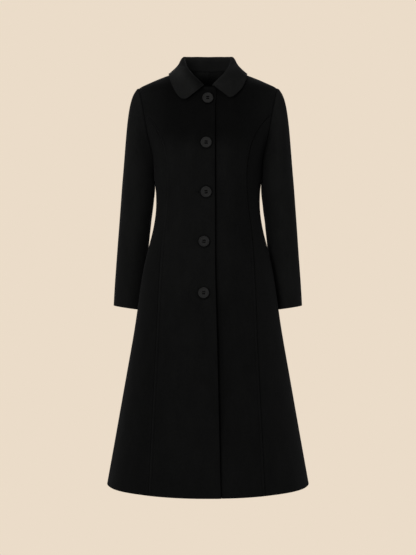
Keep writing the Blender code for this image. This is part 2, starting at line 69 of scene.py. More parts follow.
LEAF_LIFT = 2.7
TIP_SHIFT = 0.6            # the two ends of the collar are not quite alike
SLEEVE_LIGHT = (1.39, 1.53)  # painted light, the sleeves lighter than the body: wearer's right, left
# Painted shade on the inside of a sleeve: how much darker, over what turn, and again
# along its inner line: wearer's right, left.
SLEEVE_INSIDE_SHADE = ((0.44, 43.0, 0.26, 22.0), (0.48, 48.0, 0.40, 27.0))
# Painted shade along the armhole, where sleeve and body meet: sleeve side, width, body side, width, more width
# under the arm.
ARMHOLE_SHADE = ((0.40, 11.0, 0.50, 20.0, 46.0), (0.62, 23.0, 0.58, 30.0, 58.0))
SEAM_TUCK = 0.12           # one edge of each seam reaches this far under the other
CHEST_SHADE = (0.52, -255.0, 75.0, 24.0, 44.0)   # painted shade on the chest: share, lower end, ease, ring angle, ease
NECK_SHADE = (0.28, 1.45, -31.0, 34.0)          # inside the back: least, more at the neck, lower end, ease
COLLAR_LIGHT = (0.24, 36.0, 0.58, 0.42, 0.14, 0.42)  # painted light and shade on the collar: right leaf at the roll, ease, right leaf's top, left leaf's top, its roll, stand's top
SIDE_SEAM = (90.0, 97.0)
PRINCESS_TOP = -136.0
NECK_POINT = -2.0

BUTTON_R = 14.8
BUTTON_LIFT = 1.2
HOLE_R = 1.7
HOLE_PITCH = 5.4

# Rings of the body: height, half width, y of the centre front, y of the centre
# back, y of the widest line.
RINGS = (
    (0.0, 67.5, -48.0, 66.0, 0.0),
    (-12.2, 87.5, -60.0, 70.0, 0.0),
    (-24.2, 115.0, -72.5, 75.0, 0.0),
    (-35.2, 143.3, -80.5, 79.0, 0.0),
    (-46.4, 169.2, -86.0, 82.5, 0.0),
    (-57.4, 191.3, -90.0, 86.0, 0.0),
    (-70.0, 199.5, -91.5, 90.0, 0.0),
    (-90.0, 202.0, -94.5, 95.0, 0.0),
    (-110.0, 200.5, -99.0, 99.0, 0.0),
    (-139.0, 195.5, -107.3, 103.0, 0.0),
    (-167.0, 187.5, -116.0, 104.8, 0.0),
    (-195.0, 177.5, -123.0, 105.4, 0.0),
    (-222.0, 167.0, -126.0, 105.0, -0.5),
    (-250.0, 157.6, -125.6, 103.6, -2.0),
    (-280.3, 152.0, -123.0, 101.2, -4.0),
    (-310.0, 149.9, -118.8, 98.0, -5.5),
    (-340.0, 146.0, -113.6, 94.8, -7.0),
    (-369.0, 144.4, -109.0, 92.4, -8.0),
    (-397.0, 145.0, -107.0, 91.6, -9.0),
    (-425.0, 148.0, -107.5, 93.4, -10.5),
    (-453.0, 153.0, -109.5, 97.4, -12.0),
    (-509.0, 167.0, -116.0, 109.5, -14.0),
    (-564.0, 179.8, -123.5, 122.0, -15.0),
    (-649.0, 192.8, -136.0, 137.5, -16.0),
    (-732.0, 204.8, -148.0, 149.0, -16.0),
    (-816.0, 219.3, -160.0, 160.0, -16.0),
    (-927.0, 238.9, -176.0, 174.5, -16.0),
    (-1039.0, 258.7, -192.0, 188.5, -16.0),
    (-1166.9, 281.6, -210.2, 205.0, -16.0),
)
HEM = RINGS[-1][0]
HEM_RISE = 5.8

# Neckline: ring angle from the centre front, height.
NECK = ((0.0, -66.3), (4.5, -65.3), (9.0, -60.0), (15.0, -48.5), (21.0, -38.0),
        (31.0, -24.5), (46.0, -12.0), (65.0, -5.5), (90.0, NECK_POINT),
        (135.0, -0.5), (180.0, 0.0))

# Armhole from the shoulder to the armpit: height, ring angle.
ARMHOLE = ((-57.0, 90.0), (-62.0, 77.5), (-73.4, 71.0), (-98.0, 65.8),
           (PRINCESS_TOP, 64.3), (-160.0, 65.4), (-190.0, 68.4), (-222.0, 72.6),
           (-250.0, 76.8), (-268.0, 81.0), (-277.0, 85.2), (-280.3, 90.0))

# Down the front: height, x of the overlapping edge, x of the princess seam.
FRONT_SEAMS = (
    (-64.0, 21.0, 230.0),
    (PRINCESS_TOP, 19.0, 176.5),
    (-154.7, 19.0, 156.0),
    (-172.4, 18.9, 142.0),
    (-192.7, 18.8, 129.3),
    (-218.0, 18.8, 118.2),
    (-248.6, 18.8, 110.6),
    (-280.0, 18.9, 105.6),
    (-316.0, 19.0, 104.4),
    (-367.0, 19.3, 107.0),
    (-456.0, 19.5, 116.6),
    (-565.0, 19.9, 124.8),
    (-727.0, 23.8, 132.5),
    (-912.0, 28.2, 141.0),
    (HEM, 34.1, 151.5),
)

# How much further out each princess seam runs: height, wearer's right, wearer's left.
SEAM_SHIFT = ((PRINCESS_TOP, 0.0, 0.0), (-150.0, 2.4, 0.9), (-170.0, 4.8, 1.8), (-196.0, 6.4, 2.3),
              (-300.0, 6.8, 2.4), (-590.0, 6.8, 2.5), (-680.0, 6.8, 1.5), (HEM, 6.8, 1.3))

# Painted light and shade on the fronts, as factors on the base colour: height, right front, left front, right side
# front, left side front.
FRONT_PAINTED_LIGHT = ((PRINCESS_TOP, 0.92, 1.00, 1.03, 1.00), (-200.0, 0.99, 1.00, 1.08, 0.91),
           (-260.0, 1.10, 1.06, 1.13, 0.73), (-330.0, 1.12, 1.03, 1.15, 0.74),
           (-410.0, 1.12, 0.95, 1.15, 0.80), (-490.0, 1.12, 1.00, 1.08, 0.93),
           (-570.0, 1.11, 0.99, 0.99, 1.00), (-680.0, 1.05, 0.98, 0.95, 1.06),
           (-800.0, 1.00, 0.98, 0.91, 1.10), (-960.0, 0.98, 0.98, 0.87, 1.08), (HEM, 0.98, 1.00, 0.87, 1.10))
FRONT_PAINTED_LIGHT_AT = {"right_front": 1, "left_front": 2, "right_side_front": 3, "left_side_front": 4}

# Rows of the panels below the princess point: height on the princess seam and
# the centre back, height on the armhole or side seam, fine rows up to the next.
ROWS = ((PRINCESS_TOP, PRINCESS_TOP, 5), (-163.0, -160.0, 5), (-190.0, -190.0, 6),
        (-219.0, -222.0, 6), (-247.0, -250.0, 5), (-272.0, -268.0, 5),
        (-292.0, -277.0, 4), (-312.0, -280.3, 5), (-336.0, -314.0, 5),
        (-362.0, -348.0, 6), (-390.0, -384.0, 6), (-422.0, -420.0, 7),
        (-460.0, -460.0, 8), (-508.0, -508.0, 10), (-565.0, -565.0, 12),
        (-640.0, -640.0, 15), (-735.0, -735.0, 18), (-850.0, -850.0, 24),
        (-1000.0, -1000.0, 20), (HEM + 44.0, HEM + 44.0, 5), (HEM + 36.0, HEM + 36.0, 6),
        (HEM + 6.0, HEM + 6.0, 7), (HEM, HEM, 0))
ARMPIT_ROW = 7
YOKE_STEPS = (22, 26)      # fine rows up the armhole and along the shoulder

# Sleeve sections: height, x outside, x inside, y of the middle, half depth, rise.
SLEEVE = (
    (-302.0, 238.4, 149.9, 10.0, 66.0, 0.04),
    (-325.0, 240.6, 148.4, 12.5, 65.0, 0.05),
    (-345.0, 242.3, 149.4, 15.0, 64.0, 0.06),
    (-396.0, 246.4, 155.8, 20.5, 61.5, 0.08),
    (-452.0, 251.0, 162.8, 27.0, 58.5, 0.10),
    (-508.0, 255.9, 169.0, 33.0, 56.0, 0.12),
    (-565.0, 260.4, 175.6, 39.0, 53.5, 0.14),
    (-620.0, 264.6, 181.6, 44.0, 51.5, 0.15),
    (-671.8, 267.8, 187.0, 48.0, 50.0, 0.15),
)
CAP_OUT = (5.0, 27.0)
CAP_DROP = (10.0, 14.0)
CAP_HANG = (9.0, 131.0)

# Collar, centre back to front end: neck angle, roll line, middle of the fall and
# its outer edge as x, y, z.
COLLAR = (
    (180.0, (0.0, 69.0, 42.3), (0.0, 81.0, 13.0), (0.0, 90.0, -12.0)),
    (150.0, (36.0, 60.0, 40.9), (42.0, 70.0, 12.5), (50.0, 80.0, -13.5)),
    (120.0, (61.0, 34.0, 36.2), (71.0, 41.0, 11.0), (88.0, 46.0, -16.5)),
    (95.0, (68.6, 12.0, 31.0), (81.0, 11.0, 10.0), (107.5, 4.0, -17.5)),
    (70.0, (66.5, -12.0, 17.5), (82.5, -21.0, 2.0), (107.5, -46.0, -28.0)),
    (50.0, (62.0, -37.0, 3.0), (78.5, -48.0, -9.0), (103.5, -73.5, -45.6)),
    (33.0, (56.5, -54.5, -9.0), (71.5, -70.0, -24.0), (94.8, -85.5, -66.8)),
    (22.0, (48.0, -67.0, -23.0), (61.0, -84.5, -39.0), (82.2, -93.5, -88.0)),
    (15.0, (38.0, -79.0, -36.0), (50.0, -91.5, -53.0), (65.6, -98.8, -99.2)),
    (9.5, (24.5, -89.5, -50.0), (33.0, -97.3, -63.0), (42.6, -99.6, -87.5)),
    (3.5, (12.1, -97.0, -62.9), (12.2, -98.0, -63.3), (12.3, -98.4, -63.8)),
)
# The two leaves are not quite alike at the corner: neck angle, outer edge.
LEFT_LEAF = {22.0: (80.5, -94.2, -83.2), 15.0: (62.0, -98.9, -96.1), 9.5: (42.6, -99.6, -84.7)}
RIGHT_LEAF = {15.0: (64.0, -98.9, -101.3), 9.5: (42.6, -99.6, -88.3)}
# Lower edge of the wearer's right leaf from its tip to its corner: across, height.
LEAF_LINE = ((11.7, 42.6, 65.6), (-63.8, -88.4, -101.4))
LEAF_SHADE = 0.5
COLLAR_STATIONS = 71
ROLL_BOW = (3.0, 4.6, 6.4, 5.6)

# Buttons: x, height, how far the buttonhole shows past the rim, how deep its end is drawn in.
BUTTONS = ((-0.6, -98.6, 2.5, 0.3), (-4.8, -222.1, 6.5, 1.2), (-5.0, -353.7, 8.0, 2.3),
           (-10.7, -488.6, 3.0, 0.4), (-11.4, -627.6, 2.5, 0.3))
# Painted light: each button's colour a little lighter or darker, as light falls on it.
BUTTON_TONE = (1.04, 1.0, 1.10, 0.88, 0.94)
BUTTON_DIMPLE = (2.4, 16.5)    # depth, half width
BUTTON_SHADE = (0.34, 15.5, 5.5)   # how much darker the cloth is round a button, as painted shade, radius, ease

# Soft flutes of the skirt: signed ring angle, half width in degrees, rise at the
# hem (a trough is negative), height where it starts.
FLUTES = (
    (-40.0, 5.5, -2.6, -500.0), (-57.0, 10.0, 2.2, -560.0), (-76.0, 7.0, -1.6, -600.0),
    (-20.0, 8.0, 0.9, -640.0), (-9.0, 4.0, -0.7, -560.0),
    (12.0, 6.0, -0.9, -520.0), (24.0, 6.0, 0.8, -600.0), (38.5, 4.5, -1.6, -540.0),
    (54.0, 10.0, 1.9, -600.0), (78.0, 8.0, -1.4, -640.0),
    (-98.0, 8.0, 2.0, -520.0), (-116.0, 7.0, -2.4, -560.0), (-134.0, 9.0, 2.6, -500.0),
    (-152.0, 6.5, -2.2, -540.0), (-168.0, 7.0, 1.6, -620.0),
    (101.0, 9.0, 2.2, -560.0), (121.0, 7.5, -2.1, -520.0), (139.0, 8.0, 2.3, -580.0),
    (156.0, 7.0, -2.3, -500.0), (171.0, 6.0, 1.3, -600.0),
)
# Faint pulls above the hip: signed ring angle, half width, rise, upper and lower end.
PULLS = (
    (13.0, 2.6, -0.55, -190.0, -330.0), (19.0, 3.2, 0.6, -170.0, -400.0),
    (27.0, 2.4, -0.45, -210.0, -380.0), (-17.0, 3.0, 0.45, -200.0, -390.0),
    (-24.0, 2.2, -0.4, -220.0, -420.0), (-31.0, 3.0, 0.45, -230.0, -360.0),
    (-62.0, 6.0, -0.9, -320.0, -470.0), (64.0, 6.0, -0.8, -330.0, -480.0),
    (-112.0, 7.0, 1.1, -260.0, -470.0), (-128.0, 6.0, -1.2, -280.0, -460.0),
    (116.0, 6.0, 1.0, -280.0, -450.0), (131.0, 7.0, -1.3, -250.0, -470.0),
    (-150.0, 6.0, 0.9, -110.0, -330.0), (152.0, 6.0, 0.8, -130.0, -350.0),
    (-166.0, 5.0, -0.7, -180.0, -420.0), (167.0, 5.0, -0.8, -160.0, -400.0),
)
# Soft creases of the sleeve: turn round it (0 outside, 90 front, 180 inside),
# height, half width round, half height, depth, slope.
CREASES = (
    (138.0, -372.0, 34.0, 9.0, -1.1, 0.20), (150.0, -398.0, 30.0, 8.0, 0.9, 0.26),
    (142.0, -424.0, 36.0, 10.0, -1.3, 0.16), (128.0, -452.0, 40.0, 12.0, 0.8, 0.10),
    (236.0, -386.0, 34.0, 10.0, -1.2, -0.22), (228.0, -418.0, 38.0, 11.0, 1.0, -0.16),
    (244.0, -446.0, 36.0, 10.0, -1.0, -0.20), (64.0, -520.0, 46.0, 26.0, -0.7, 0.10),
    (296.0, -500.0, 44.0, 24.0, -0.8, -0.12), (100.0, -600.0, 40.0, 26.0, 0.6, 0.08),
)


# ---------------------------------------------------------------- curves
def spline(knots, values):
    """Natural cubic spline through a table; knots rise."""
    x = np.asarray(knots, float)
    y = np.asarray(values, float)
    n = len(x)
    h = np.diff(x)
    system = np.eye(n)
    right = np.zeros(n)
    for i in range(1, n - 1):
        system[i, i - 1:i + 2] = h[i - 1], 2.0 * (h[i - 1] + h[i]), h[i]
        right[i] = 6.0 * ((y[i + 1] - y[i]) / h[i] - (y[i] - y[i - 1]) / h[i - 1])
    bend = np.linalg.solve(system, right)

    def value(at):
        at = np.clip(np.asarray(at, float), x[0], x[-1])
        i = np.clip(np.searchsorted(x, at) - 1, 0, n - 2)
        p, q = x[i + 1] - at, at - x[i]
        w = h[i]
        return ((bend[i] * p ** 3 + bend[i + 1] * q ** 3) / (6.0 * w)
                + (y[i] / w - bend[i] * w / 6.0) * p
                + (y[i + 1] / w - bend[i + 1] * w / 6.0) * q)
    return value


def column(table, index):
    """Spline of one column of a table whose first column is a falling height."""
    rows = table[::-1]
    return spline([r[0] for r in rows], [r[index] for r in rows])


def lengths(points):
    """Length along a run of points, from its start."""
    step = np.linalg.norm(np.diff(points, axis=0), axis=1)
    return np.concatenate(([0.0], np.cumsum(step)))


def at_lengths(run, own, want):
    return np.stack([np.interp(want, own, run[:, k]) for k in range(run.shape[1])], axis=1)


def ease(t):
    t = np.clip(t, 0.0, 1.0)
    return t * t * (3.0 - 2.0 * t)


def bell(t):
    return np.exp(-t * t)


# ---------------------------------------------------------------- body surface
half_width = column(RINGS, 1)
front_y = column(RINGS, 2)
back_y = column(RINGS, 3)
side_y = column(RINGS, 4)
edge_line = column(FRONT_SEAMS, 1)
edge_x = lambda z: edge_line(z) + 2.4 * ease((np.asarray(z, float) + 121.0) / 34.0)
princess_x = column(FRONT_SEAMS[1:], 2)
neck_z = spline([r[0] for r in NECK], [r[1] for r in NECK])
lap_deep, lap_fall, lap_width = (column(LAP, k) for k in (1, 2, 3))


def body(angle, z):
    """Point of the body's plain outer surface at a ring angle and height."""
    t = np.radians(angle)
    c = np.cos(t)
    side = side_y(z)
    depth = np.where(c >= 0.0, side - front_y(z), back_y(z) - side)
    return np.stack(np.broadcast_arrays(half_width(z) * np.sin(t), side - depth * c,
                                        np.asarray(z, float)), axis=-1)


def body_normal(angle, z):
    along = body(angle + 0.05, z) - body(angle - 0.05, z)
    up = body(angle, z + 0.05) - body(angle, z - 0.05)
    n = np.cross(along, up)
    return n / np.linalg.norm(n, axis=-1, keepdims=True)


def angle_at(x, z):
    return np.degrees(np.arcsin(np.clip(x / half_width(z), -1.0, 1.0)))


def side_angle(z):
    share = (ARMHOLE[-1][0] - z) / (ARMHOLE[-1][0] - HEM)
    return SIDE_SEAM[0] + (SIDE_SEAM[1] - SIDE_SEAM[0]) * share


def off_body(points, clear):
    """Points moved out square to the body until they are clear of its surface."""
    def level(p):
        z = np.clip(p[..., 2], HEM, 0.0)
        side = side_y(z)
        y = p[..., 1] - side
        depth = np.where(y < 0.0, side - front_y(z), back_y(z) - side)
        return np.sqrt((p[..., 0] / half_width(z)) ** 2 + (y / depth) ** 2) - 1.0
    points = np.array(points, float)
    for _ in range(6):
        here = level(points)
        slope = np.stack([(level(points + d) - level(points - d)) / 0.2
                          for d in 0.1 * np.eye(3)], axis=-1)
        steep = np.linalg.norm(slope, axis=-1)
        lack = np.maximum(0.0, clear - here / steep)
        points = points + slope * (lack / steep)[..., None]
    return points


def form(angle, z):
    """Soft flutes and pulls of the hanging cloth, as a rise; angle is signed."""
    total = np.zeros(np.broadcast(angle, z).shape)
    for middle, half, rise, top in FLUTES:
        away = (angle - middle + 180.0) % 360.0 - 180.0
        total = total + rise * ease((top - z) / (top - HEM)) ** 0.9 * bell(away / half)
    for middle, half, rise, high, low in PULLS:
        away = (angle - middle + 180.0) % 360.0 - 180.0
        share = np.clip((high - z) / (high - low), 0.0, 1.0)
        total = total + rise * np.sin(math.pi * share) ** 2 * bell(away / half)
    return total


def dimple(x, z):
    """The over front is drawn in a little round each button."""
    total = np.zeros(np.broadcast(x, z).shape)
    for bx, bz, shows, drawn in BUTTONS:
        total = total - BUTTON_DIMPLE[0] * bell(np.hypot(x - bx, z - bz) / BUTTON_DIMPLE[1])
        tip = bx - BUTTON_R - 0.7 * shows
        total = total - drawn * bell(np.hypot((x - tip) / 6.5, (z - bz + 1.6) / 4.6))
    return total


# ---------------------------------------------------------------- seam lines
ARM_POINTS = body(np.array([a for _, a in ARMHOLE]), np.array([z for z, _ in ARMHOLE]))
ARM_AT = lengths(ARM_POINTS)
arm_angle = spline(ARM_AT, [a for _, a in ARMHOLE])
arm_z = spline(ARM_AT, [z for z, _ in ARMHOLE])
ARM_PRINCESS, ARM_END = float(ARM_AT[4]), float(ARM_AT[-1])


def arm_at_height(z):
    fine = np.linspace(ARM_PRINCESS, ARM_END, 2000)
    return float(np.interp(-z, -arm_z(fine), fine))


def fine_rows():
    """Rows below the princess point: inner height, outer height, armhole length or None."""
    rows = []
    for i, (z_in, z_out, steps) in enumerate(ROWS):
        s0 = arm_at_height(z_out) if i < ARMPIT_ROW else None
        if i == 0:
            s0 = ARM_PRINCESS
        if i + 1 == len(ROWS):
            rows.append((z_in, z_out, None))
            break
        n_in, n_out = ROWS[i + 1][:2]
        s1 = arm_at_height(n_out) if i + 1 < ARMPIT_ROW else ARM_END
        for k in range(steps):
            t = k / steps
            if s0 is not None:
                s = s0 + (s1 - s0) * t
                rows.append((z_in + (n_in - z_in) * t, float(arm_z(s)), s))
            else:
                rows.append((z_in + (n_in - z_in) * t, z_out + (n_out - z_out) * t, None))
    return rows


FINE = fine_rows()
ARM_LOW = [s for _, _, s in FINE if s is not None] + [ARM_END]
ARM_UP = list(np.linspace(ARM_PRINCESS, 0.0, YOKE_STEPS[0] + 1))
SHOULDER = np.linspace(ARMHOLE[0][0], NECK_POINT, YOKE_STEPS[1] + 1)

EDGE_STEPS = np.array((0.0, 0.4, 0.8, 1.25, 1.75, 2.35, 3.1, 4.2, 5.6, 6.8, 7.6, 8.2, 8.8, 9.4, 10.2, 12.0, 15.0))
LAP_STEPS = np.array((-3.0, -1.4, -0.4, 0.3, 0.9, 1.6, 2.5, 3.6, 5.0, 6.8, 9.0, 11.5, 14.5, 18.0))
BUTTON_STEPS = np.linspace(-27.0, 21.0, 21)


def spots(length, middle, line=None, steps=None):
    """Places across a panel: close at its two edges and about a line, even between."""
    first = EDGE_STEPS * min(1.0, length / 70.0)
    if line is None:
        between = np.linspace(first[-1], length - first[-1], middle + 2)[1:-1]
    else:
        close = line + steps
        close = close[close > first[-1] + 1.0]
        close = np.concatenate((np.linspace(first[-1], close[0], 2 + len(steps) - len(close) + 2)[1:-1], close))
        between = np.concatenate((close, np.linspace(close[-1], length - first[-1], middle + 2)[1:-1]))
    return np.concatenate((first, between, (length - first)[::-1]))


def lay(runs, middle, line_x=None, steps=None):
    """Rows of (angle, height) spread by length, with the distances to both edges."""
    grid, start, end = [], [], []
    for run in runs:
        run = np.asarray(run, float)
        point = body(run[:, 0], run[:, 1])
        own = lengths(point)
        line = None if line_x is None else float(np.interp(0.0, point[:, 0] - line_x(run[:, 1]), own))
        at = spots(own[-1], middle, line, steps)
        grid.append(at_lengths(run, own, at))
        start.append(at)
        end.append(own[-1] - at)
    return np.array(grid), np.array(start), np.array(end)


def straight(first, last, count=60):
    share = np.linspace(0.0, 1.0, count)[:, None]
    return np.array(first)[None] * (1 - share) + np.array(last)[None] * share


def yoke_edge(back):
    arm = [(180.0 - arm_angle(s) if back else arm_angle(s), arm_z(s)) for s in ARM_UP]
    return np.array(arm + [(90.0, z) for z in SHOULDER[1:]], float)


def edge_by_shares(run, like):
    own = lengths(body(run[:, 0], run[:, 1]))
    want = lengths(body(like[:, 0], like[:, 1]))
    return at_lengths(run, own / own[-1], want / want[-1])


def coons(bottom, top, inner, outer):
    own = lengths(body(outer[:, 0], outer[:, 1]))
    u = np.linspace(0.0, 1.0, len(bottom))[None, :, None]
    v = (own / own[-1])[:, None, None]
    across = (1 - v) * bottom[None] + v * top[None]
    along = (1 - u) * inner[:, None] + u * outer[:, None]
    corners = ((1 - u) * (1 - v) * bottom[0] + u * (1 - v) * bottom[-1]
               + (1 - u) * v * top[0] + u * v * top[-1])
    return across + along - corners


def front_runs(start_x, seam_x, corner=0.0, closer=False):
    """Centre front, hem first; its rows are closer together at the buttons."""
    heights = [FINE[-1][0]]
    for z, _, _ in FINE[-2:0:-1]:
        near = closer and min(abs(0.5 * (heights[-1] + z) - b[1]) for b in BUTTONS[1:]) < 26.0
        heights += list(np.linspace(heights[-1], z, 4 if near else 2)[1:])
    runs = []
    for z in heights:
        runs.append(straight((angle_at(start_x(z), z), z), (angle_at(seam_x(z), z), z)))
    outer = yoke_edge(False)
    first = float(angle_at(start_x(PRINCESS_TOP), PRINCESS_TOP))
    base = straight((first, PRINCESS_TOP), outer[0])
    top_angle = float(angle_at(float(start_x(NECK[0][1])), NECK[0][1]))
    line = np.linspace(top_angle, 90.0, 300)
    drop = corner * ease((-line - LAP_CORNER[1]) / LAP_CORNER[2])
    neck = np.stack((line, neck_z(np.abs(line)) - drop), axis=1)
    own = lengths(body(neck[:, 0], neck[:, 1]))
    top = at_lengths(neck, own, np.linspace(0.0, own[-1], len(base)))
    edge_z = np.linspace(PRINCESS_TOP, top[0, 1], 120)
    inner = np.stack((angle_at(start_x(edge_z), edge_z), edge_z), axis=1)
    inner[-1] = top[0]
    return runs + list(coons(base, top, edge_by_shares(inner, outer), outer))


def outer_point(z_out, s, back):
    if s is not None:
        angle = float(arm_angle(s))
        return (180.0 - angle if back else angle, float(arm_z(s)))
    return (float(side_angle(z_out)), z_out)


def side_front_runs(seam_x):
    return [straight((angle_at(seam_x(z_in), z_in), z_in), outer_point(z_out, s, False))
            for z_in, z_out, s in FINE[::-1]]


def back_runs():
    runs = [straight(outer_point(z_out, s, True), (180.0, z_in)) for z_in, z_out, s in FINE[:0:-1]]
    outer = yoke_edge(True)
    base = straight(outer[0], (180.0, PRINCESS_TOP))
    line = np.linspace(90.0, 180.0, len(base))
    top = np.stack((line, neck_z(line)), axis=1)
    middle_z = np.linspace(PRINCESS_TOP, 0.0, 120)
    middle = edge_by_shares(np.stack((np.full(120, 180.0), middle_z), axis=1), outer)
    return runs + list(coons(base, top, outer, middle))


# ---------------------------------------------------------------- seam profiles
def groove(d, cut=GROOVE):
    return -cut[0] * bell(d / cut[1])


def plain_seam(d):
    """Pressed-open seam: a groove with a low ridge beside it."""
    return groove(d) + 0.22 * bell((d - 4.2) / 2.4)


def welt_seam(d, cut):
    """Seam with its allowance stitched down on this side."""
    height, start, end = WELT
    depth, line, half = STITCH_GROOVE
    band = height * (ease((d - start) / 1.6) - ease((d - end) / 1.5))
    return groove(d, cut) + band - depth * bell((d - line) / half)


def rolled(d, radius):
    """How far a turned edge falls away within its radius."""
    d = np.clip(d + 0.07, 0.0, radius)
    return radius - np.sqrt(np.maximum(radius ** 2 - (radius - d) ** 2, 0.0))


# ---------------------------------------------------------------- meshes
def grid_faces(rows, cols, closed):
    i, j = np.meshgrid(np.arange(rows - 1), np.arange(cols if closed else cols - 1), indexing="ij")
    i, j = i.ravel(), j.ravel()
    k = (j + 1) % cols
    return np.stack((i * cols + j, i * cols + k, (i + 1) * cols + k, (i + 1) * cols + j), axis=1)


def wall_faces(rows, cols, closed):
    """Faces of a wall with an outer and an inner grid."""
    sheet = grid_faces(rows, cols, closed)
    size = rows * cols
    faces = [sheet, sheet[:, ::-1] + size]
    spans = np.arange(cols if closed else cols - 1)
    nxt = (spans + 1) % cols
    for row in (0, rows - 1):
        a, b = row * cols + spans, row * cols + nxt
        rim = np.stack((a, a + size, b + size, b), axis=1)
        faces.append(rim if row == 0 else rim[:, ::-1])
    if not closed:
        steps = np.arange(rows - 1)
        for col in (0, cols - 1):
            a, b = steps * cols + col, (steps + 1) * cols + col
            rim = np.stack((a, b, b + size, a + size), axis=1)
            faces.append(rim if col == 0 else rim[:, ::-1])
    return np.concatenate(faces)


def mesh_object(name, verts, faces, mat, uv=None, painted_light=None, sharp=50.0):
    mesh = bpy.data.meshes.new(name)
    mesh.from_pydata((np.asarray(verts) * MM).tolist(), [], [tuple(f) for f in np.asarray(faces).tolist()])
    if uv is not None:
        layer = mesh.uv_layers.new(name="cut")
        index = np.zeros(len(mesh.loops), np.int32)
        mesh.loops.foreach_get("vertex_index", index)
        layer.data.foreach_set("uv", np.asarray(uv, np.float32)[index].ravel())
    bm = bmesh.new()
    bm.from_mesh(mesh)
    bmesh.ops.recalc_face_normals(bm, faces=bm.faces)
    bm.to_mesh(mesh)
    bm.free()
    # Per-vertex factor on the base colour: painted light and shade.
    if painted_light is not None:
        mesh.attributes.new("painted_light", 'FLOAT', 'POINT').data.foreach_set("value", np.asarray(painted_light, np.float32))
    mesh.shade_smooth()
    if sharp:
        mesh.set_sharp_from_angle(angle=math.radians(sharp))
    mesh.materials.append(mat)
    obj = bpy.data.objects.new(name, mesh)
    bpy.context.scene.collection.objects.link(obj)
    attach(obj, "root")
    return obj


def wall(name, outer, inner, mat, uv, painted_light=1.0, inside_painted_light=1.0, closed=False):
    rows, cols = outer.shape[:2]
    verts = np.concatenate((outer.reshape(-1, 3), inner.reshape(-1, 3)))
    flat = uv.reshape(-1, 2)
    tone = [np.broadcast_to(n, outer.shape[:2]).ravel() for n in (painted_light, inside_painted_light)]
    return mesh_object(name, verts, wall_faces(rows, cols, closed), mat,
                       np.concatenate((flat, flat)), np.concatenate(tone))


def painted_chest_shade(angle, z):
    """Painted shade: the middle of the chest darker than the rest of the front."""
    return 1.0 - CHEST_SHADE[0] * ease((z - CHEST_SHADE[1]) / CHEST_SHADE[2]) \
        * (1.0 - ease((np.abs(angle) - CHEST_SHADE[3]) / CHEST_SHADE[4]))


# ---------------------------------------------------------------- materials
def shader_of(name):
    mat = bpy.data.materials.new(name)
    mat.use_nodes = True
    return mat, mat.node_tree, mat.node_tree.nodes["Principled BSDF"]


def node(tree, kind, **sockets):
    made = tree.nodes.new(kind)
    for key, value in sockets.items():
        made.inputs[key.replace("_", " ")].default_value = value
    return made


def ramp(tree, source, low, high, dark, light):
    made = tree.nodes.new("ShaderNodeValToRGB")
    made.color_ramp.elements[0].position = low
    made.color_ramp.elements[0].color = (*dark, 1.0)
    made.color_ramp.elements[1].position = high
    made.color_ramp.elements[1].color = (*light, 1.0)
    tree.links.new(source, made.inputs["Fac"])
    return made


def mixed(tree, a, b, share):
    """a times (1 - share) plus b times share."""
    made = tree.nodes.new("ShaderNodeMix")
    made.data_type = 'FLOAT'
    made.inputs[0].default_value = share
    tree.links.new(a, made.inputs[2])
    tree.links.new(b, made.inputs[3])
    return made.outputs[0]


def wool(name, dark, light, sheen, specular):
    """Napped coating: short fibres lying downwards over a fine twill, slightly mottled."""
    mat, tree, shader = shader_of(name)
    place = tree.nodes.new("ShaderNodeTexCoord")
    lying = node(tree, "ShaderNodeMapping", Scale=(1.0, 1.0, 0.42))
    tree.links.new(place.outputs["Object"], lying.inputs["Vector"])
    fibre = node(tree, "ShaderNodeTexNoise", Scale=1250.0, Detail=3.0, Roughness=0.6)
    fleck = node(tree, "ShaderNodeTexNoise", Scale=330.0, Detail=3.0, Roughness=0.55)
    cloud = node(tree, "ShaderNodeTexNoise", Scale=34.0, Detail=3.0, Roughness=0.5)
    for tex in (fibre, fleck, cloud):
        tree.links.new(lying.outputs["Vector"], tex.inputs["Vector"])
    turned = node(tree, "ShaderNodeMapping", Rotation=(0.0, 0.0, math.radians(27.0)))
    tree.links.new(place.outputs["UV"], turned.inputs["Vector"])
    twill = node(tree, "ShaderNodeTexWave", Scale=190.0, Distortion=1.6, Detail=2.0)
    tree.links.new(turned.outputs["Vector"], twill.inputs["Vector"])

    grain = mixed(tree, fleck.outputs["Fac"], fibre.outputs["Fac"], 0.45)
    tone = mixed(tree, grain, cloud.outputs["Fac"], 0.30)
    colour = ramp(tree, tone, 0.34, 0.66, dark, light)
    # The base colour is scaled by a per-vertex factor that holds painted light and shade.
    painted_lightness = tree.nodes.new("ShaderNodeAttribute")
    painted_lightness.attribute_name = "painted_light"
    scaled = tree.nodes.new("ShaderNodeVectorMath")
    scaled.operation = 'SCALE'
    tree.links.new(colour.outputs["Color"], scaled.inputs[0])
    tree.links.new(painted_lightness.outputs["Fac"], scaled.inputs["Scale"])
    tree.links.new(scaled.outputs["Vector"], shader.inputs["Base Color"])

    height = mixed(tree, mixed(tree, fibre.outputs["Fac"], fleck.outputs["Fac"], 0.45),
                   twill.outputs["Fac"], 0.16)
    bump = node(tree, "ShaderNodeBump", Strength=0.55, Distance=0.0007)
    tree.links.new(height, bump.inputs["Height"])
    tree.links.new(bump.outputs["Normal"], shader.inputs["Normal"])
    shader.inputs["Roughness"].default_value = 0.95
    shader.inputs["Metallic"].default_value = 0.0
    shader.inputs["Specular IOR Level"].default_value = specular
    shader.inputs["Sheen Weight"].default_value = sheen
    shader.inputs["Sheen Roughness"].default_value = 0.55
    shader.inputs["Sheen Tint"].default_value = (0.9, 0.9, 0.92, 1.0)
    return mat


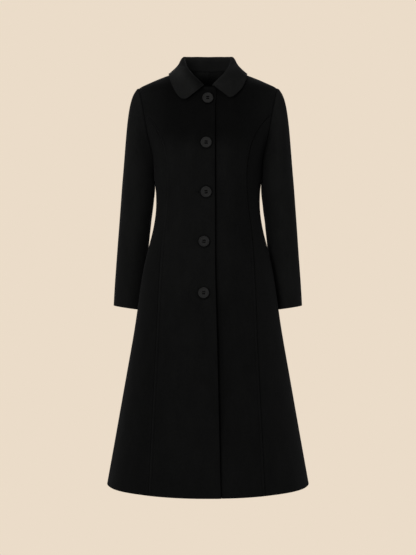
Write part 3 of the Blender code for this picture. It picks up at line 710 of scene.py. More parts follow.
def horn(name):
    """Dark satin button with a faint swirl and a fine turned grain."""
    mat, tree, shader = shader_of(name)
    place = tree.nodes.new("ShaderNodeTexCoord")
    swirl = node(tree, "ShaderNodeTexNoise", Scale=120.0, Detail=4.0, Roughness=0.6, Distortion=1.4)
    fine = node(tree, "ShaderNodeTexNoise", Scale=1400.0, Detail=2.0)
    for tex in (swirl, fine):
        tree.links.new(place.outputs["Object"], tex.inputs["Vector"])
    colour = ramp(tree, swirl.outputs["Fac"], 0.30, 0.72, (0.0151, 0.0149, 0.0144), (0.0173, 0.0171, 0.0165))
    # Each button's colour is scaled by its own factor: painted light.
    painted_button_light = tree.nodes.new("ShaderNodeAttribute")
    painted_button_light.attribute_name = "painted_light"
    scaled = tree.nodes.new("ShaderNodeVectorMath")
    scaled.operation = 'SCALE'
    tree.links.new(colour.outputs["Color"], scaled.inputs[0])
    tree.links.new(painted_button_light.outputs["Fac"], scaled.inputs["Scale"])
    tree.links.new(scaled.outputs["Vector"], shader.inputs["Base Color"])
    rough = ramp(tree, fine.outputs["Fac"], 0.3, 0.7, (0.42, 0.42, 0.42), (0.56, 0.56, 0.56))
    tree.links.new(rough.outputs["Color"], shader.inputs["Roughness"])
    bump = node(tree, "ShaderNodeBump", Strength=0.12, Distance=0.0003)
    tree.links.new(fine.outputs["Fac"], bump.inputs["Height"])
    tree.links.new(bump.outputs["Normal"], shader.inputs["Normal"])
    shader.inputs["Specular IOR Level"].default_value = 0.05
    return mat


def thread(name, dark, light):
    """Twisted sewing thread."""
    mat, tree, shader = shader_of(name)
    place = tree.nodes.new("ShaderNodeTexCoord")
    ply = node(tree, "ShaderNodeTexNoise", Scale=2600.0, Detail=2.0)
    tree.links.new(place.outputs["Object"], ply.inputs["Vector"])
    colour = ramp(tree, ply.outputs["Fac"], 0.3, 0.7, dark, light)
    tree.links.new(colour.outputs["Color"], shader.inputs["Base Color"])
    bump = node(tree, "ShaderNodeBump", Strength=0.4, Distance=0.0002)
    tree.links.new(ply.outputs["Fac"], bump.inputs["Height"])
    tree.links.new(bump.outputs["Normal"], shader.inputs["Normal"])
    shader.inputs["Roughness"].default_value = 0.85
    shader.inputs["Specular IOR Level"].default_value = 0.03
    return mat


WOOL = wool("wool_coating", (0.0030, 0.00304, 0.00295), (0.0058, 0.00586, 0.00563), 0.016, 0.05)
# Painted light: the collar's copy of the coating is about 1.8 times lighter than the rest.
COLLAR_WOOL_LIT = wool("wool_collar_lit", (0.0058, 0.00584, 0.00565), (0.0104, 0.01047, 0.0101), 0.016, 0.06)
HORN = horn("button_horn")
THREAD = thread("thread_black", (0.0016, 0.0016, 0.0016), (0.0036, 0.0036, 0.0036))
STITCH = thread("thread_seam", (0.0034, 0.0034, 0.0034), (0.0062, 0.0062, 0.0062))


# ---------------------------------------------------------------- body panels
def lap_depth(x, z):
    """How deep the under front lies below the surface at x."""
    past = x - edge_x(z)
    slope = lap_deep(z) * (1.0 - ease((past - LAP_EASE[0]) / (LAP_EASE[1] - LAP_EASE[0])))
    return slope + lap_fall(z) * (1.0 - ease((past - 0.5) / lap_width(z)))


def tuck(points, edge, beside):
    """Carry an edge column on by the overlap of a seam."""
    step = points[:, edge] - points[:, beside]
    points[:, edge] += SEAM_TUCK * step / np.linalg.norm(step, axis=1, keepdims=True)


def panel(name, runs, side, middle, first, last, over=False, under=False):
    """Wall of the coating; first and last are the profiles of its two long edges."""
    if over:
        grid, start, end = lay(runs, middle, button_line, BUTTON_STEPS)
    elif under:
        grid, start, end = lay(runs, middle, edge_x, LAP_STEPS)
    else:
        grid, start, end = lay(runs, middle)
    angle, z = grid[..., 0], grid[..., 1].copy()
    near_hem = np.clip((z + 1000.0) / (HEM + 1000.0), 0.0, 1.0)
    z = z + HEM_RISE * np.sin(np.radians(angle)) ** 2 * near_hem
    hem_at = grid[..., 1] - HEM
    point = body(angle, z)
    normal = body_normal(angle, z)
    rise = form(side * angle, z)
    if first:
        rise = rise + first(start, z)
    if last:
        rise = rise + last(end, z)
    turned = 1.0 - ease((hem_at - HEM_TURN + 1.2) / 2.0)
    if over or under:
        turned = np.maximum(turned, 1.0 - ease((start - FACING + 1.2) / 2.0))
    thick = WALL + (EDGE_WALL - WALL) * turned
    fall = rolled(hem_at, 0.5 * EDGE_WALL)
    if over:
        rise = rise + dimple(side * point[..., 0], z) + 0.8 * bell(start / 15.0) - 1.1 * bell(start / 4.6)
    if under:
        rise = rise - lap_depth(point[..., 0], z)
    if over or under:
        fall = np.maximum(fall, rolled(start, 0.5 * EDGE_WALL))
    turn = np.array((side, 1.0, 1.0))
    outer = (point + normal * (rise - fall)[..., None]) * turn
    inside = np.maximum(rise, 0.0) if name.endswith("back") else rise
    inner = (point + normal * (inside - thick + fall)[..., None]) * turn
    for grid_of in (outer, inner):
        if first:
            tuck(grid_of, 0, 1)
        if name == "left_back":
            tuck(grid_of, -1, -2)
    uv = np.stack((start * MM, np.broadcast_to(lengths(point[:, middle])[:, None] * MM, start.shape)), axis=-1)
    # Painted light and shade, as a factor on each vertex's base colour.
    painted_light = 1.0
    if name in FRONT_PAINTED_LIGHT_AT:
        painted_light = painted_chest_shade(angle, z) * column(FRONT_PAINTED_LIGHT, FRONT_PAINTED_LIGHT_AT[name])(z)
    # Painted shade beside the princess seam below the waist, and towards the side in the skirt.
    if name == "right_side_front":
        painted_light = painted_light * (1.0 - 0.13 * (1.0 - ease((start - 25.0) / 45.0)) * ease((-430.0 - z) / 120.0))
        painted_light = painted_light * (1.0 - 0.24 * ease((np.abs(angle) - 48.0) / 26.0) * ease((-650.0 - z) / 150.0))
    if over:
        # Painted shade round each button.
        for bx, bz, _, _ in BUTTONS:
            away = np.hypot(side * point[..., 0] - bx, z - bz)
            painted_light = painted_light * (1.0 - BUTTON_SHADE[0] * (1.0 - ease((away - BUTTON_SHADE[1]) / BUTTON_SHADE[2])))
        # Painted shade beside the princess seam in the skirt and in a faint band at the waist, painted highlights
        # along the front edge under the collar and along the neck edge, and painted shadow below the right collar
        # leaf.
        painted_light = painted_light * (1.0 - 0.15 * (1.0 - ease((end - 12.0) / 60.0)) * ease((-640.0 - z) / 120.0))
        painted_light = painted_light * (1.0 - 0.11 * bell((z + 283.0) / 46.0) * ease((side * point[..., 0] + 62.0) / 50.0))
        painted_light = painted_light * (1.0 + 0.26 * (1.0 - ease((start - 5.0) / 11.0)) * ease((z + 185.0) / 40.0) * ease((-88.0 - z) / 14.0))
        painted_light = painted_light * (1.0 + 0.55 * bell((neck_z(np.abs(angle)) - z - 2.0) / 5.0) * (1.0 - ease((point[..., 0] - 6.0) / 12.0)))
        below = np.interp(point[..., 0], LEAF_LINE[0], LEAF_LINE[1]) - z
        painted_light = painted_light * (1.0 - LEAF_SHADE * (1.0 - ease((below - 4.0) / 15.0)) * ease((point[..., 0] - 8.0) / 6.0)
                     * (1.0 - ease((point[..., 0] - 56.0) / 14.0)))
    # Painted shade along the armhole seam of both fronts.
    if over or under:
        painted_light = painted_light * (1.0 - 0.5 * (1.0 - ease((end - 0.6) / 4.0)) * ease((z - PRINCESS_TOP) / 20.0) * ease((-52.0 - z) / 8.0))
    # Painted shadow of the over front's edge on the under front in the skirt, and painted shade beside the
    # princess seam.
    if under:
        past = point[..., 0] - edge_x(z)
        painted_light = painted_light * (1.0 - 0.17 * (1.0 - ease((past - 18.0) / 38.0)) * ease((-600.0 - z) / 70.0) * ease((z + 1090.0) / 90.0))
        painted_light = painted_light * (1.0 - 0.11 * (1.0 - ease((end - 8.0) / 50.0)) * ease((-115.0 - z) / 40.0) * ease((z + 620.0) / 100.0))
    seam_shade_and_highlight = ease((-400.0 - z) / 60.0)      # painted shade along the skirt's princess seam on the wearer's left, with a painted highlight on the welt beside it
    if under:
        painted_light = painted_light * (1.0 + seam_shade_and_highlight * (0.14 * bell((end - 3.6) / 1.7) - 0.30 * (1.0 - ease((end - 0.4) / 2.2))))
    if name == "left_side_front":
        painted_light = painted_light * (1.0 - 0.30 * seam_shade_and_highlight * (1.0 - ease((start - 0.4) / 2.8)))
        # Painted light across the skirt: darker by the seam, lighter towards the side.
        painted_light = painted_light * (1.0 + 0.10 * (ease((start - 4.0) / 50.0) - 0.5) * ease((-560.0 - z) / 80.0))
    # Painted shade along the armhole, between sleeve and body.
    if name.endswith("side_front"):
        _, _, deep, wide, more = ARMHOLE_SHADE[0 if side < 0.0 else 1]
        wide = wide + more * ease((-255.0 - z) / 35.0)
        painted_light = painted_light * (1.0 - deep * (1.0 - ease(end / wide)) * ease((-185.0 - z) / 50.0) * ease((z + 362.0) / 50.0))
    if name.endswith("back"):
        # Painted shade inside the back, darker down from the neck; near the neck, painted light on the right
        # back's inside and a little painted shade on the left's.
        inside_painted_light = NECK_SHADE[0] + NECK_SHADE[1] * ease((z - NECK_SHADE[2]) / NECK_SHADE[3])
        lit = 1.3 + 0.9 * ease((point[..., 0] - 4.0) / 22.0) if side < 0.0 else 0.92
        inside_painted_light = np.maximum(inside_painted_light * lit, ease((NECK_SHADE[2] - z) / 120.0))
        return wall(name + "_cloth", outer, inner, WOOL, uv, painted_light, inside_painted_light), outer
    return wall(name + "_cloth", outer, inner, WOOL, uv, painted_light), outer


def princess_centre(cut, flat):
    """End of a centre front: welt below the armhole, plain groove on armhole and shoulder."""
    def profile(d, z):
        below = ease((PRINCESS_TOP - z) / 9.0) * (1.0 - flat * well_pressed(z))
        above = 1.0 - ease((PRINCESS_TOP - z) / 9.0)
        return below * welt_seam(d, cut) + above * groove(d)
    return profile


def princess_side(cut, flat):
    def profile(d, z):
        below = ease((PRINCESS_TOP - z) / 9.0) * (1.0 - flat * well_pressed(z))
        above = 1.0 - ease((PRINCESS_TOP - z) / 9.0)
        return below * groove(d, cut) + above * groove(d) + 0.12 * bell((d - 3.6) / 2.0)
    return profile


def well_pressed(z):
    """Where a princess seam is pressed flat, over the bust and down to the waist."""
    return ease((-215.0 - z) / 40.0) * ease((z + 570.0) / 90.0)


def outside_seam(d, z):
    return plain_seam(d)


over_edge = lambda z: -edge_x(z)
under_edge = lambda z: np.full_like(np.asarray(z, float), -UNDERLAP)
button_line = lambda z: -np.interp(-np.asarray(z, float), [-b[1] for b in BUTTONS], [b[0] for b in BUTTONS])
right_shift, left_shift = column(SEAM_SHIFT, 1), column(SEAM_SHIFT, 2)
right_princess = lambda z: princess_x(z) + right_shift(z)
left_princess = lambda z: princess_x(z) + left_shift(z)

cloth = {}
right_runs = front_runs(over_edge, right_princess, LAP_CORNER[0], closer=True)
left_runs = front_runs(under_edge, left_princess)
cloth["right_front"], right_outer = panel("right_front", right_runs, -1.0, 14,
                                          None, princess_centre(GROOVE, 0.6), over=True)
cloth["left_front"], left_outer = panel("left_front", left_runs, 1.0, 16,
                                        None, princess_centre(DEEP_GROOVE, 0.0), under=True)
for label, side, seam_x, cut, flat in (("right", -1.0, right_princess, GROOVE, 0.6),
                                       ("left", 1.0, left_princess, DEEP_GROOVE, 0.0)):
    cloth[label + "_side_front"], _ = panel(label + "_side_front", side_front_runs(seam_x), side, 14,
                                            princess_side(cut, flat), outside_seam)
    cloth[label + "_back"], _ = panel(label + "_back", back_runs(), side, 26,
                                      outside_seam, outside_seam)


# ---------------------------------------------------------------- sleeves
def sleeve_surface(side):
    """Outer points of a sleeve, shoulder to wrist, and the falls of its ends."""
    arm = ARM_UP[::-1] + ARM_LOW[1:]
    front = np.array([(float(arm_angle(s)), float(arm_z(s))) for s in arm])
    back = np.stack((180.0 - front[-2:0:-1, 0], front[-2:0:-1, 1]), axis=1)
    loop = np.concatenate((front, back))
    start = body(loop[:, 0], loop[:, 1])
    first_normal = body_normal(loop[:, 0], loop[:, 1])
    half = len(front) - 1
    step = np.linalg.norm(np.roll(start, -1, axis=0) - start, axis=1)
    down = np.concatenate(([0.0], np.cumsum(step[:half])))
    up = np.concatenate(([0.0], np.cumsum(step[half:])))
    turn = np.concatenate((180.0 * down / down[-1], 180.0 + 180.0 * up[1:-1] / up[-1]))
    psi = np.radians(turn)

    parts = [column(SLEEVE, k) for k in range(1, 6)]

    def section(z):
        out_x, in_x, mid_y, depth, rise = (float(p(z)) for p in parts)
        if side > 0.0:
            out_x -= 0.8 * float(ease((-430.0 - z) / 90.0))
            in_x += 0.7 * float(bell((z + 325.0) / 18.0))
        mid_x, half_x = 0.5 * (out_x + in_x), 0.5 * (out_x - in_x)
        x = mid_x + half_x * np.cos(psi)
        y = mid_y - depth * np.sin(psi)
        return np.stack((x, y, z + rise * (x - mid_x)), axis=1)

    arrive = section(SLEEVE[0][0])
    hang = arrive - section(SLEEVE[2][0])
    hang /= np.linalg.norm(hang, axis=1, keepdims=True)
    top = 0.5 * (1.0 + np.cos(psi))
    low = ease((0.30 - top) / 0.30)
    leave = np.stack((CAP_OUT[0] + CAP_OUT[1] * top - 4.6 * low, -2.5 * np.sin(psi),
                      -CAP_DROP[0] * top - CAP_DROP[1] * np.abs(np.sin(psi)) - 5.0 * low), axis=1)
    handle1 = start + leave
    handle2 = arrive + hang * (CAP_HANG[0] + CAP_HANG[1] * top ** 1.3)[:, None]
    s = np.linspace(0.0, 1.0, 160)[:, None, None]
    curve = ((1 - s) ** 3 * start + 3 * s * (1 - s) ** 2 * handle1
             + 3 * s * s * (1 - s) * handle2 + s ** 3 * arrive)
    cap, cap_at = [], []
    for j in range(len(psi)):
        own = lengths(curve[:, j])
        first = EDGE_STEPS * min(1.0, own[-1] / 26.0)
        at = np.concatenate((first, np.linspace(first[-1], own[-1], 34)[1:]))
        cap.append(at_lengths(curve[:, j], own, at))
        cap_at.append(at)
    cap = np.transpose(np.array(cap), (1, 0, 2))
    cap_at = np.array(cap_at).T
    low = SLEEVE[-1][0]
    heights = np.concatenate((np.linspace(SLEEVE[0][0], low + 46.0, 54)[1:],
                              low + np.array((43.0, 41.6, 40.8, 40.0, 39.2, 38.0, 33.0, 27.0, 21.0, 15.0, 10.0,
                                              6.5, 4.2, 2.9, 2.0, 1.3, 0.8, 0.4, 0.15, 0.0))))
    grid = np.concatenate((cap, np.array([section(z) for z in heights])))
    from_head = np.concatenate((cap_at, np.full((len(heights), len(psi)), 400.0)))
    to_end = np.concatenate((np.full(cap_at.shape, 400.0), np.repeat((heights - low)[:, None], len(psi), axis=1)))
    return grid, from_head, to_end, psi, turn, first_normal


def tube_normals(grid):
    down = np.gradient(grid, axis=0)
    across = np.roll(grid, -1, axis=1) - np.roll(grid, 1, axis=1)
    n = np.cross(down, across)
    n /= np.linalg.norm(n, axis=-1, keepdims=True)
    middle = grid.mean(axis=1, keepdims=True)
    return n if np.sum((grid - middle) * n) > 0.0 else -n


def sleeve(name, side):
    grid, from_head, to_end, psi, turn, first_normal = sleeve_surface(side)
    normal = tube_normals(grid)
    normal[0] = first_normal
    top = 0.5 * (1.0 + np.cos(psi))[None]
    rise = (0.35 + 0.75 * top) * bell((from_head - 6.0) / 4.6)
    z = grid[..., 2]
    for at, height, half_turn, half_z, depth, slope in CREASES:
        shifted = at + (6.0 if side > 0.0 else 0.0)
        away = (turn[None] - shifted + 180.0) % 360.0 - 180.0
        level = height + slope * away - (9.0 if side > 0.0 else 0.0)
        rise = rise + 0.85 * depth * bell(away / half_turn) * bell((z - level) / half_z)
    under_seam = np.abs((turn[None] - 192.0 + 180.0) % 360.0 - 180.0) * 0.85
    rise = rise - 0.6 * bell(under_seam / 1.6) * ease(from_head / 8.0)
    sunk = groove(from_head)
    turned = 1.0 - ease((to_end - HEM_TURN + 1.0) / 2.0)
    thick = WALL + (EDGE_WALL - 0.4 - WALL) * turned
    fall = rolled(to_end, 0.5 * (EDGE_WALL - 0.4))
    base = grid + first_normal[None] * sunk[..., None]
    mirror = np.array((side, 1.0, 1.0))
    outer = (base + normal * (rise - fall)[..., None]) * mirror
    inner = (base + normal * (rise - thick + fall)[..., None]) * mirror
    around = np.concatenate(([0.0], np.cumsum(np.linalg.norm(np.diff(grid[60], axis=0), axis=1))))
    uv = np.stack(np.broadcast_arrays(around[None] * MM, lengths(grid[:, 0])[:, None] * MM), axis=-1)
    tuck(outer.transpose(1, 0, 2), 0, 1)
    tuck(inner.transpose(1, 0, 2), 0, 1)
    # Painted shade on the inside of the sleeve, and along the armhole under the arm.
    rub, rub_turn, line, line_turn = SLEEVE_INSIDE_SHADE[0 if side < 0.0 else 1]
    sleeve_shade = (1.0 - rub * bell((turn - 180.0) / rub_turn) - line * bell((turn - 174.0) / line_turn))[None]
    deep, wide, _, _, _ = ARMHOLE_SHADE[0 if side < 0.0 else 1]
    sleeve_shade = sleeve_shade * (1.0 - deep * (1.0 - ease((from_head - 1.0) / wide)) * ease((-150.0 - z) / 60.0))
    # Painted light: the sleeves lighter than the body, more at the top of the cap, with small changes down the
    # sleeve; painted shade right at the armhole seam.
    if side < 0.0:
        painted_lightness = SLEEVE_LIGHT[0] * (1.0 + 0.07 * ease((z + 200.0) / 90.0) + 0.03 * ease((-540.0 - z) / 90.0)
                                   + 0.24 * ease((z + 122.0) / 45.0))
    else:
        painted_lightness = SLEEVE_LIGHT[1] * (1.0 + 0.10 * ease((-470.0 - z) / 120.0) - 0.09 * bell((z + 225.0) / 60.0)
                                   + 0.20 * ease((z + 122.0) / 45.0))
    painted_lightness = painted_lightness * (1.0 - 0.45 * (1.0 - ease((from_head - 0.6) / 3.4)))
    return wall(name, outer, inner, WOOL, uv, painted_lightness * sleeve_shade, closed=True)


for label, side in (("right", -1.0), ("left", 1.0)):
    cloth[label + "_sleeve"] = sleeve(label + "_sleeve_cloth", side)


# ---------------------------------------------------------------- collar
def stand_axes(neck, roll, mid):
    up = (roll - neck) / np.linalg.norm(roll - neck)
    out = mid - roll
    out = out - up * np.dot(out, up)
    return up, out / np.linalg.norm(out)


def smooth_run(points, at):
    """Smooth run through points, read at shares of its length."""
    points = np.asarray(points, float)
    knots = np.concatenate(([0.0], np.cumsum(np.sqrt(np.linalg.norm(np.diff(points, axis=0), axis=1)))))
    fine = np.linspace(0.0, knots[-1], 600)
    run = np.stack([spline(knots, points[:, k])(fine) for k in range(3)], axis=1)
    own = lengths(run)
    return at_lengths(run, own / own[-1], at), own[-1]


COLLAR_EDGE = np.array((0.0, 0.12, 0.4, 0.8, 1.3, 1.9, 2.8, 4.0, 5.6, 7.2, 8.2, 9.4, 12.0))


def collar_line(row):
    """Middle line at one station: up the stand, over the roll, down the fall."""
    neck, roll, mid, edge = row
    tall = np.linalg.norm(roll - neck)
    up, out = stand_axes(neck, roll, mid)
    size = min(1.0, max(0.35, tall / 20.0))
    before = roll - size * (ROLL_BOW[0] * out + ROLL_BOW[1] * up)
    after = roll + size * (ROLL_BOW[2] * out - ROLL_BOW[3] * up)
    points = np.array((neck, 0.5 * (neck + before), before, roll, after, mid, edge))
    line, total = smooth_run(points, np.linspace(0.0, 1.0, 120))
    fold = int(np.argmin(np.linalg.norm(line - after, axis=1)))
    line[fold:] = off_body(line[fold:], 0.5 * COLLAR_WALL[1] + COLLAR_CLEAR)
    own = lengths(line)
    front = ease((-30.0 - edge[1]) / 40.0)
    lift = LEAF_LIFT * front * ease((own / own[-1] - 0.6) / 0.4)
    line = off_body(line, np.where(np.arange(len(line)) < fold, -50.0, 0.5 * COLLAR_WALL[1] + COLLAR_CLEAR + lift))
    own = lengths(line)
    first = min(1.0, own[-1] / 40.0)
    at = np.concatenate((np.linspace(0.0, own[-1] - COLLAR_EDGE[-1] * first, 44),
                         own[-1] - COLLAR_EDGE[-2::-1] * first))
    return at_lengths(line, own, at), own[-1] - at


def collar_half(side):
    stations = []
    for angle, roll, mid, edge in COLLAR:
        z = float(neck_z(angle))
        neck = body(angle, z)
        if side > 0.0 and angle < 60.0:
            neck = neck - body_normal(angle, z) * lap_depth(neck[0], z)
        roll, mid, edge = np.array(roll), np.array(mid), np.array(edge)
        if angle == COLLAR[-1][0]:
            for end in (roll, mid, edge):
                end[0] += side * TIP_SHIFT
        hang = min(1.0, max(0.0, edge[2] / COLLAR[8][3][2]))
        edge[2] += side * LEAF_DROP * hang ** 2
        own = LEFT_LEAF if side > 0.0 else RIGHT_LEAF
        edge = np.array(own.get(angle, edge))
        up, out = stand_axes(neck, roll, mid)
        rise = COLLAR_RISE[0 if angle > 60.0 else 1]
        if side > 0.0 and angle == COLLAR[-1][0]:
            rise += 1.3
        stations.append((neck + up * rise - out * (0.5 * COLLAR_WALL[0]), roll, mid, edge))
    stations = np.array(stations)
    at = np.arange(len(stations), dtype=float)
    want = np.concatenate((np.linspace(0.0, at[-1] - 0.30, COLLAR_STATIONS - 7),
                           at[-1] - np.array((0.20, 0.12, 0.07, 0.035, 0.015, 0.005, 0.0))))
    run = np.stack([[spline(at, stations[:, k, c])(want) for c in range(3)] for k in range(4)])
    made = [collar_line(row) for row in np.transpose(run, (2, 0, 1))]
    lines = np.array([m[0] for m in made]) * np.array((side, 1.0, 1.0))
    return lines, np.array([m[1] for m in made])


def collar(name):
    right, right_to = collar_half(-1.0)
    left, left_to = collar_half(1.0)
    lines = np.concatenate((right[::-1], left[1:]))
    to_edge = np.concatenate((right_to[::-1], left_to[1:]))
    down = np.gradient(lines, axis=0)
    across = np.gradient(lines, axis=1)
    normal = np.cross(down, across)
    normal /= np.linalg.norm(normal, axis=-1, keepdims=True)
    # length along the collar from its two front ends
    ends = np.stack([lengths(lines[:, k]) for k in range(lines.shape[1])], axis=1)
    to_end = np.minimum(ends, ends[-1:] - ends)
    share = np.linspace(0.0, 1.0, lines.shape[1])[None]
    thick = COLLAR_WALL[0] + (COLLAR_WALL[1] - COLLAR_WALL[0]) * ease((share - 0.4) / 0.4)
    half = 0.5 * thick * (0.32 + 0.68 * ease(to_end / 14.0))   # trimmed thin at the tips
    fall = np.maximum(rolled(to_edge, 1.6), rolled(to_end, 1.5))
    fall = np.minimum(fall, half - 0.12)
    # the edge seam lies just inside the edge, and shows as a faint line on the fall
    line = 0.28 * bell((to_edge - 7.0) / 1.3) * ease((to_end - 3.0) / 6.0)
    outer = lines + normal * (half - fall - line)[..., None]
    inner = lines - normal * (half - fall)[..., None]
    uv = np.stack((ends * MM, to_edge * MM), axis=-1)
    # Painted light and shade on the collar: the right leaf darker at its roll and lighter high up, the left leaf
    # lighter at its roll and darker high up, the stand lighter at the back near its top and darker towards the
    # front and on the left.
    past_roll = np.stack([lengths(row) - lengths(row)[int(np.argmax(row[:, 2]))] for row in lines])
    from_roll = np.abs(past_roll)
    high = ease((lines[..., 2] + 64.0) / 46.0) * ease((60.0 - lines[..., 1]) / 60.0)
    at_roll, roll_ease, right_top, left_top, left_roll, stand_top = COLLAR_LIGHT
    right_leaf = (at_roll + (1.0 - at_roll) * ease(from_roll / roll_ease)) * (1.0 + right_top * high * ease(from_roll / 16.0))
    left_leaf = (0.94 + left_roll * (1.0 - ease(from_roll / 7.0)) + 0.55 * (1.0 - high) * (1.0 - ease((from_roll - 2.0) / 3.5))) * (1.0 - left_top * high)
    share = ease((lines[..., 0] + 26.0) / 52.0)
    at_back = ease((lines[..., 1] - 5.0) / 45.0)
    leaf = (right_leaf * (1.0 - share) + left_leaf * share) * (1.0 - at_back) + at_back
    stand = (1.0 + stand_top * at_back * (1.0 - ease((from_roll - 2.0) / 17.0))) * (1.04 - 0.2 * share) * (0.5 + 0.5 * at_back)
    turned_over = ease((past_roll + 2.5) / 5.0)
    return wall(name, outer, inner, COLLAR_WOOL_LIT, uv, stand * (1.0 - turned_over) + leaf * turned_over)


cloth["collar"] = collar("collar_cloth")


# ---------------------------------------------------------------- buttons
def seat(x, z, lift):
    """Place and directions on the over front: out, across, up."""
    angle = -float(angle_at(-x, z))
    point = body(angle, z)
    out = body_normal(angle, z)
    across = np.cross(np.array((0.0, 0.0, 1.0)), out)
    across /= np.linalg.norm(across)
    up = np.cross(out, across)
    return point + out * lift, out, across, up


# Turned profile of a button: radius, height.
BUTTON_PROFILE = ((0.0, 0.0), (8.0, 0.0), (10.6, 0.25), (12.6, 0.9), (14.0, 1.8), (14.65, 2.6), (14.8, 3.2),
                  (14.65, 3.8), (14.25, 4.25), (13.6, 4.52), (12.9, 4.6), (12.2, 4.54), (11.7, 4.40),
                  (11.25, 4.22), (10.8, 4.12), (10.3, 4.14), (9.8, 4.20), (8.8, 4.22), (7.0, 4.12),
                  (5.0, 4.0), (2.5, 3.92), (0.0, 3.9))


def button_mesh():
    """Turned disc, rim and groove, with four rounded holes cut through."""
    steps = 72
    rings = BUTTON_PROFILE[1:-1]
    turn = np.linspace(0.0, 2.0 * math.pi, steps, endpoint=False)
    verts = [(0.0, 0.0, BUTTON_PROFILE[0][1])]
    for r, h in rings:
        verts += [(r * math.cos(t), r * math.sin(t), h) for t in turn]
    verts.append((0.0, 0.0, BUTTON_PROFILE[-1][1]))
    faces = []
    last = len(verts) - 1
    for j in range(steps):
        k = (j + 1) % steps
        faces.append((0, 1 + k, 1 + j))
        for i in range(len(rings) - 1):
            a, b = 1 + i * steps, 1 + (i + 1) * steps
            faces.append((a + j, a + k, b + k, b + j))
        a = 1 + (len(rings) - 1) * steps
        faces.append((a + j, a + k, last))
    mesh = bpy.data.meshes.new("button_blank")
    mesh.from_pydata((np.array(verts) * MM).tolist(), [], faces)
    blank = bpy.data.objects.new("button_blank", mesh)
    bpy.context.scene.collection.objects.link(blank)
    cutter_mesh = bpy.data.meshes.new("button_drill")
    bm = bmesh.new()
    for sx in (-0.5, 0.5):
        for sy in (-0.5, 0.5):
            # straight through, and wider where it comes out on the face
            for r1, r2, deep, high in ((HOLE_R, HOLE_R, 12.0, 2.0), (HOLE_R * 0.9, HOLE_R + 0.4, 1.5, 3.75)):
                made = bmesh.ops.create_cone(bm, cap_ends=True, segments=24, radius1=r1 * MM,
                                             radius2=r2 * MM, depth=deep * MM)
                bmesh.ops.translate(bm, verts=made["verts"],
                                    vec=(sx * HOLE_PITCH * MM, sy * HOLE_PITCH * MM, high * MM))
    bm.to_mesh(cutter_mesh)
    bm.free()
    cutter = bpy.data.objects.new("button_drill", cutter_mesh)
    bpy.context.scene.collection.objects.link(cutter)
    cut = blank.modifiers.new("holes", 'BOOLEAN')
    cut.operation = 'DIFFERENCE'
    cut.solver = 'EXACT'
    cut.use_self = True
    cut.object = cutter
    bpy.context.view_layer.update()
    done = bpy.data.meshes.new_from_object(blank.evaluated_get(bpy.context.evaluated_depsgraph_get()))
    bpy.data.objects.remove(cutter, do_unlink=True)
    bpy.data.objects.remove(blank, do_unlink=True)
    done.shade_smooth()
    done.set_sharp_from_angle(angle=math.radians(38.0))
    done.materials.clear()
    done.materials.append(HORN)
    return done


def tube(path, radius, sides=8, flat=1.0, normal=None, closed=False):
    """Verts and faces of a tube along a path; flat squeezes it along the normal."""
    path = np.asarray(path, float)
    n = len(path)
    if closed:
        tangent = np.roll(path, -1, axis=0) - np.roll(path, 1, axis=0)
    else:
        tangent = np.gradient(path, axis=0)
    tangent /= np.linalg.norm(tangent, axis=1, keepdims=True)
    normal = np.broadcast_to(np.asarray(normal, float), path.shape)
    side = np.cross(tangent, normal)
    side /= np.linalg.norm(side, axis=1, keepdims=True)
    rise = np.cross(side, tangent)
    radius = np.broadcast_to(np.asarray(radius, float), (n,))
    turn = np.linspace(0.0, 2.0 * math.pi, sides, endpoint=False)
    ring = (side[:, None] * np.cos(turn)[None, :, None] + flat * rise[:, None] * np.sin(turn)[None, :, None])
    verts = (path[:, None] + ring * radius[:, None, None]).reshape(-1, 3)
    faces = []
    for i in range(n if closed else n - 1):
        for j in range(sides):
            k, m = (j + 1) % sides, (i + 1) % n
            faces.append((i * sides + j, i * sides + k, m * sides + k, m * sides + j))
    if not closed:
        faces.append(tuple(range(sides))[::-1])
        faces.append(tuple((n - 1) * sides + j for j in range(sides)))
    return verts, faces


def joined(pieces):
    verts, faces, base = [], [], 0
    for v, f in pieces:
        verts.append(np.asarray(v))
        faces += [tuple(base + i for i in face) for face in f]
        base += len(v)
    return np.concatenate(verts), faces


def poly_object(name, verts, faces, mat, sharp=0.0):
    mesh = bpy.data.meshes.new(name)
    mesh.from_pydata((np.asarray(verts) * MM).tolist(), [], faces)
    bm = bmesh.new()
    bm.from_mesh(mesh)
    bmesh.ops.recalc_face_normals(bm, faces=bm.faces)
    bm.to_mesh(mesh)
    bm.free()
    mesh.shade_smooth()
    if sharp:
        mesh.set_sharp_from_angle(angle=math.radians(sharp))
    mesh.materials.append(mat)
    obj = bpy.data.objects.new(name, mesh)
    bpy.context.scene.collection.objects.link(obj)
    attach(obj, "root")
    return obj


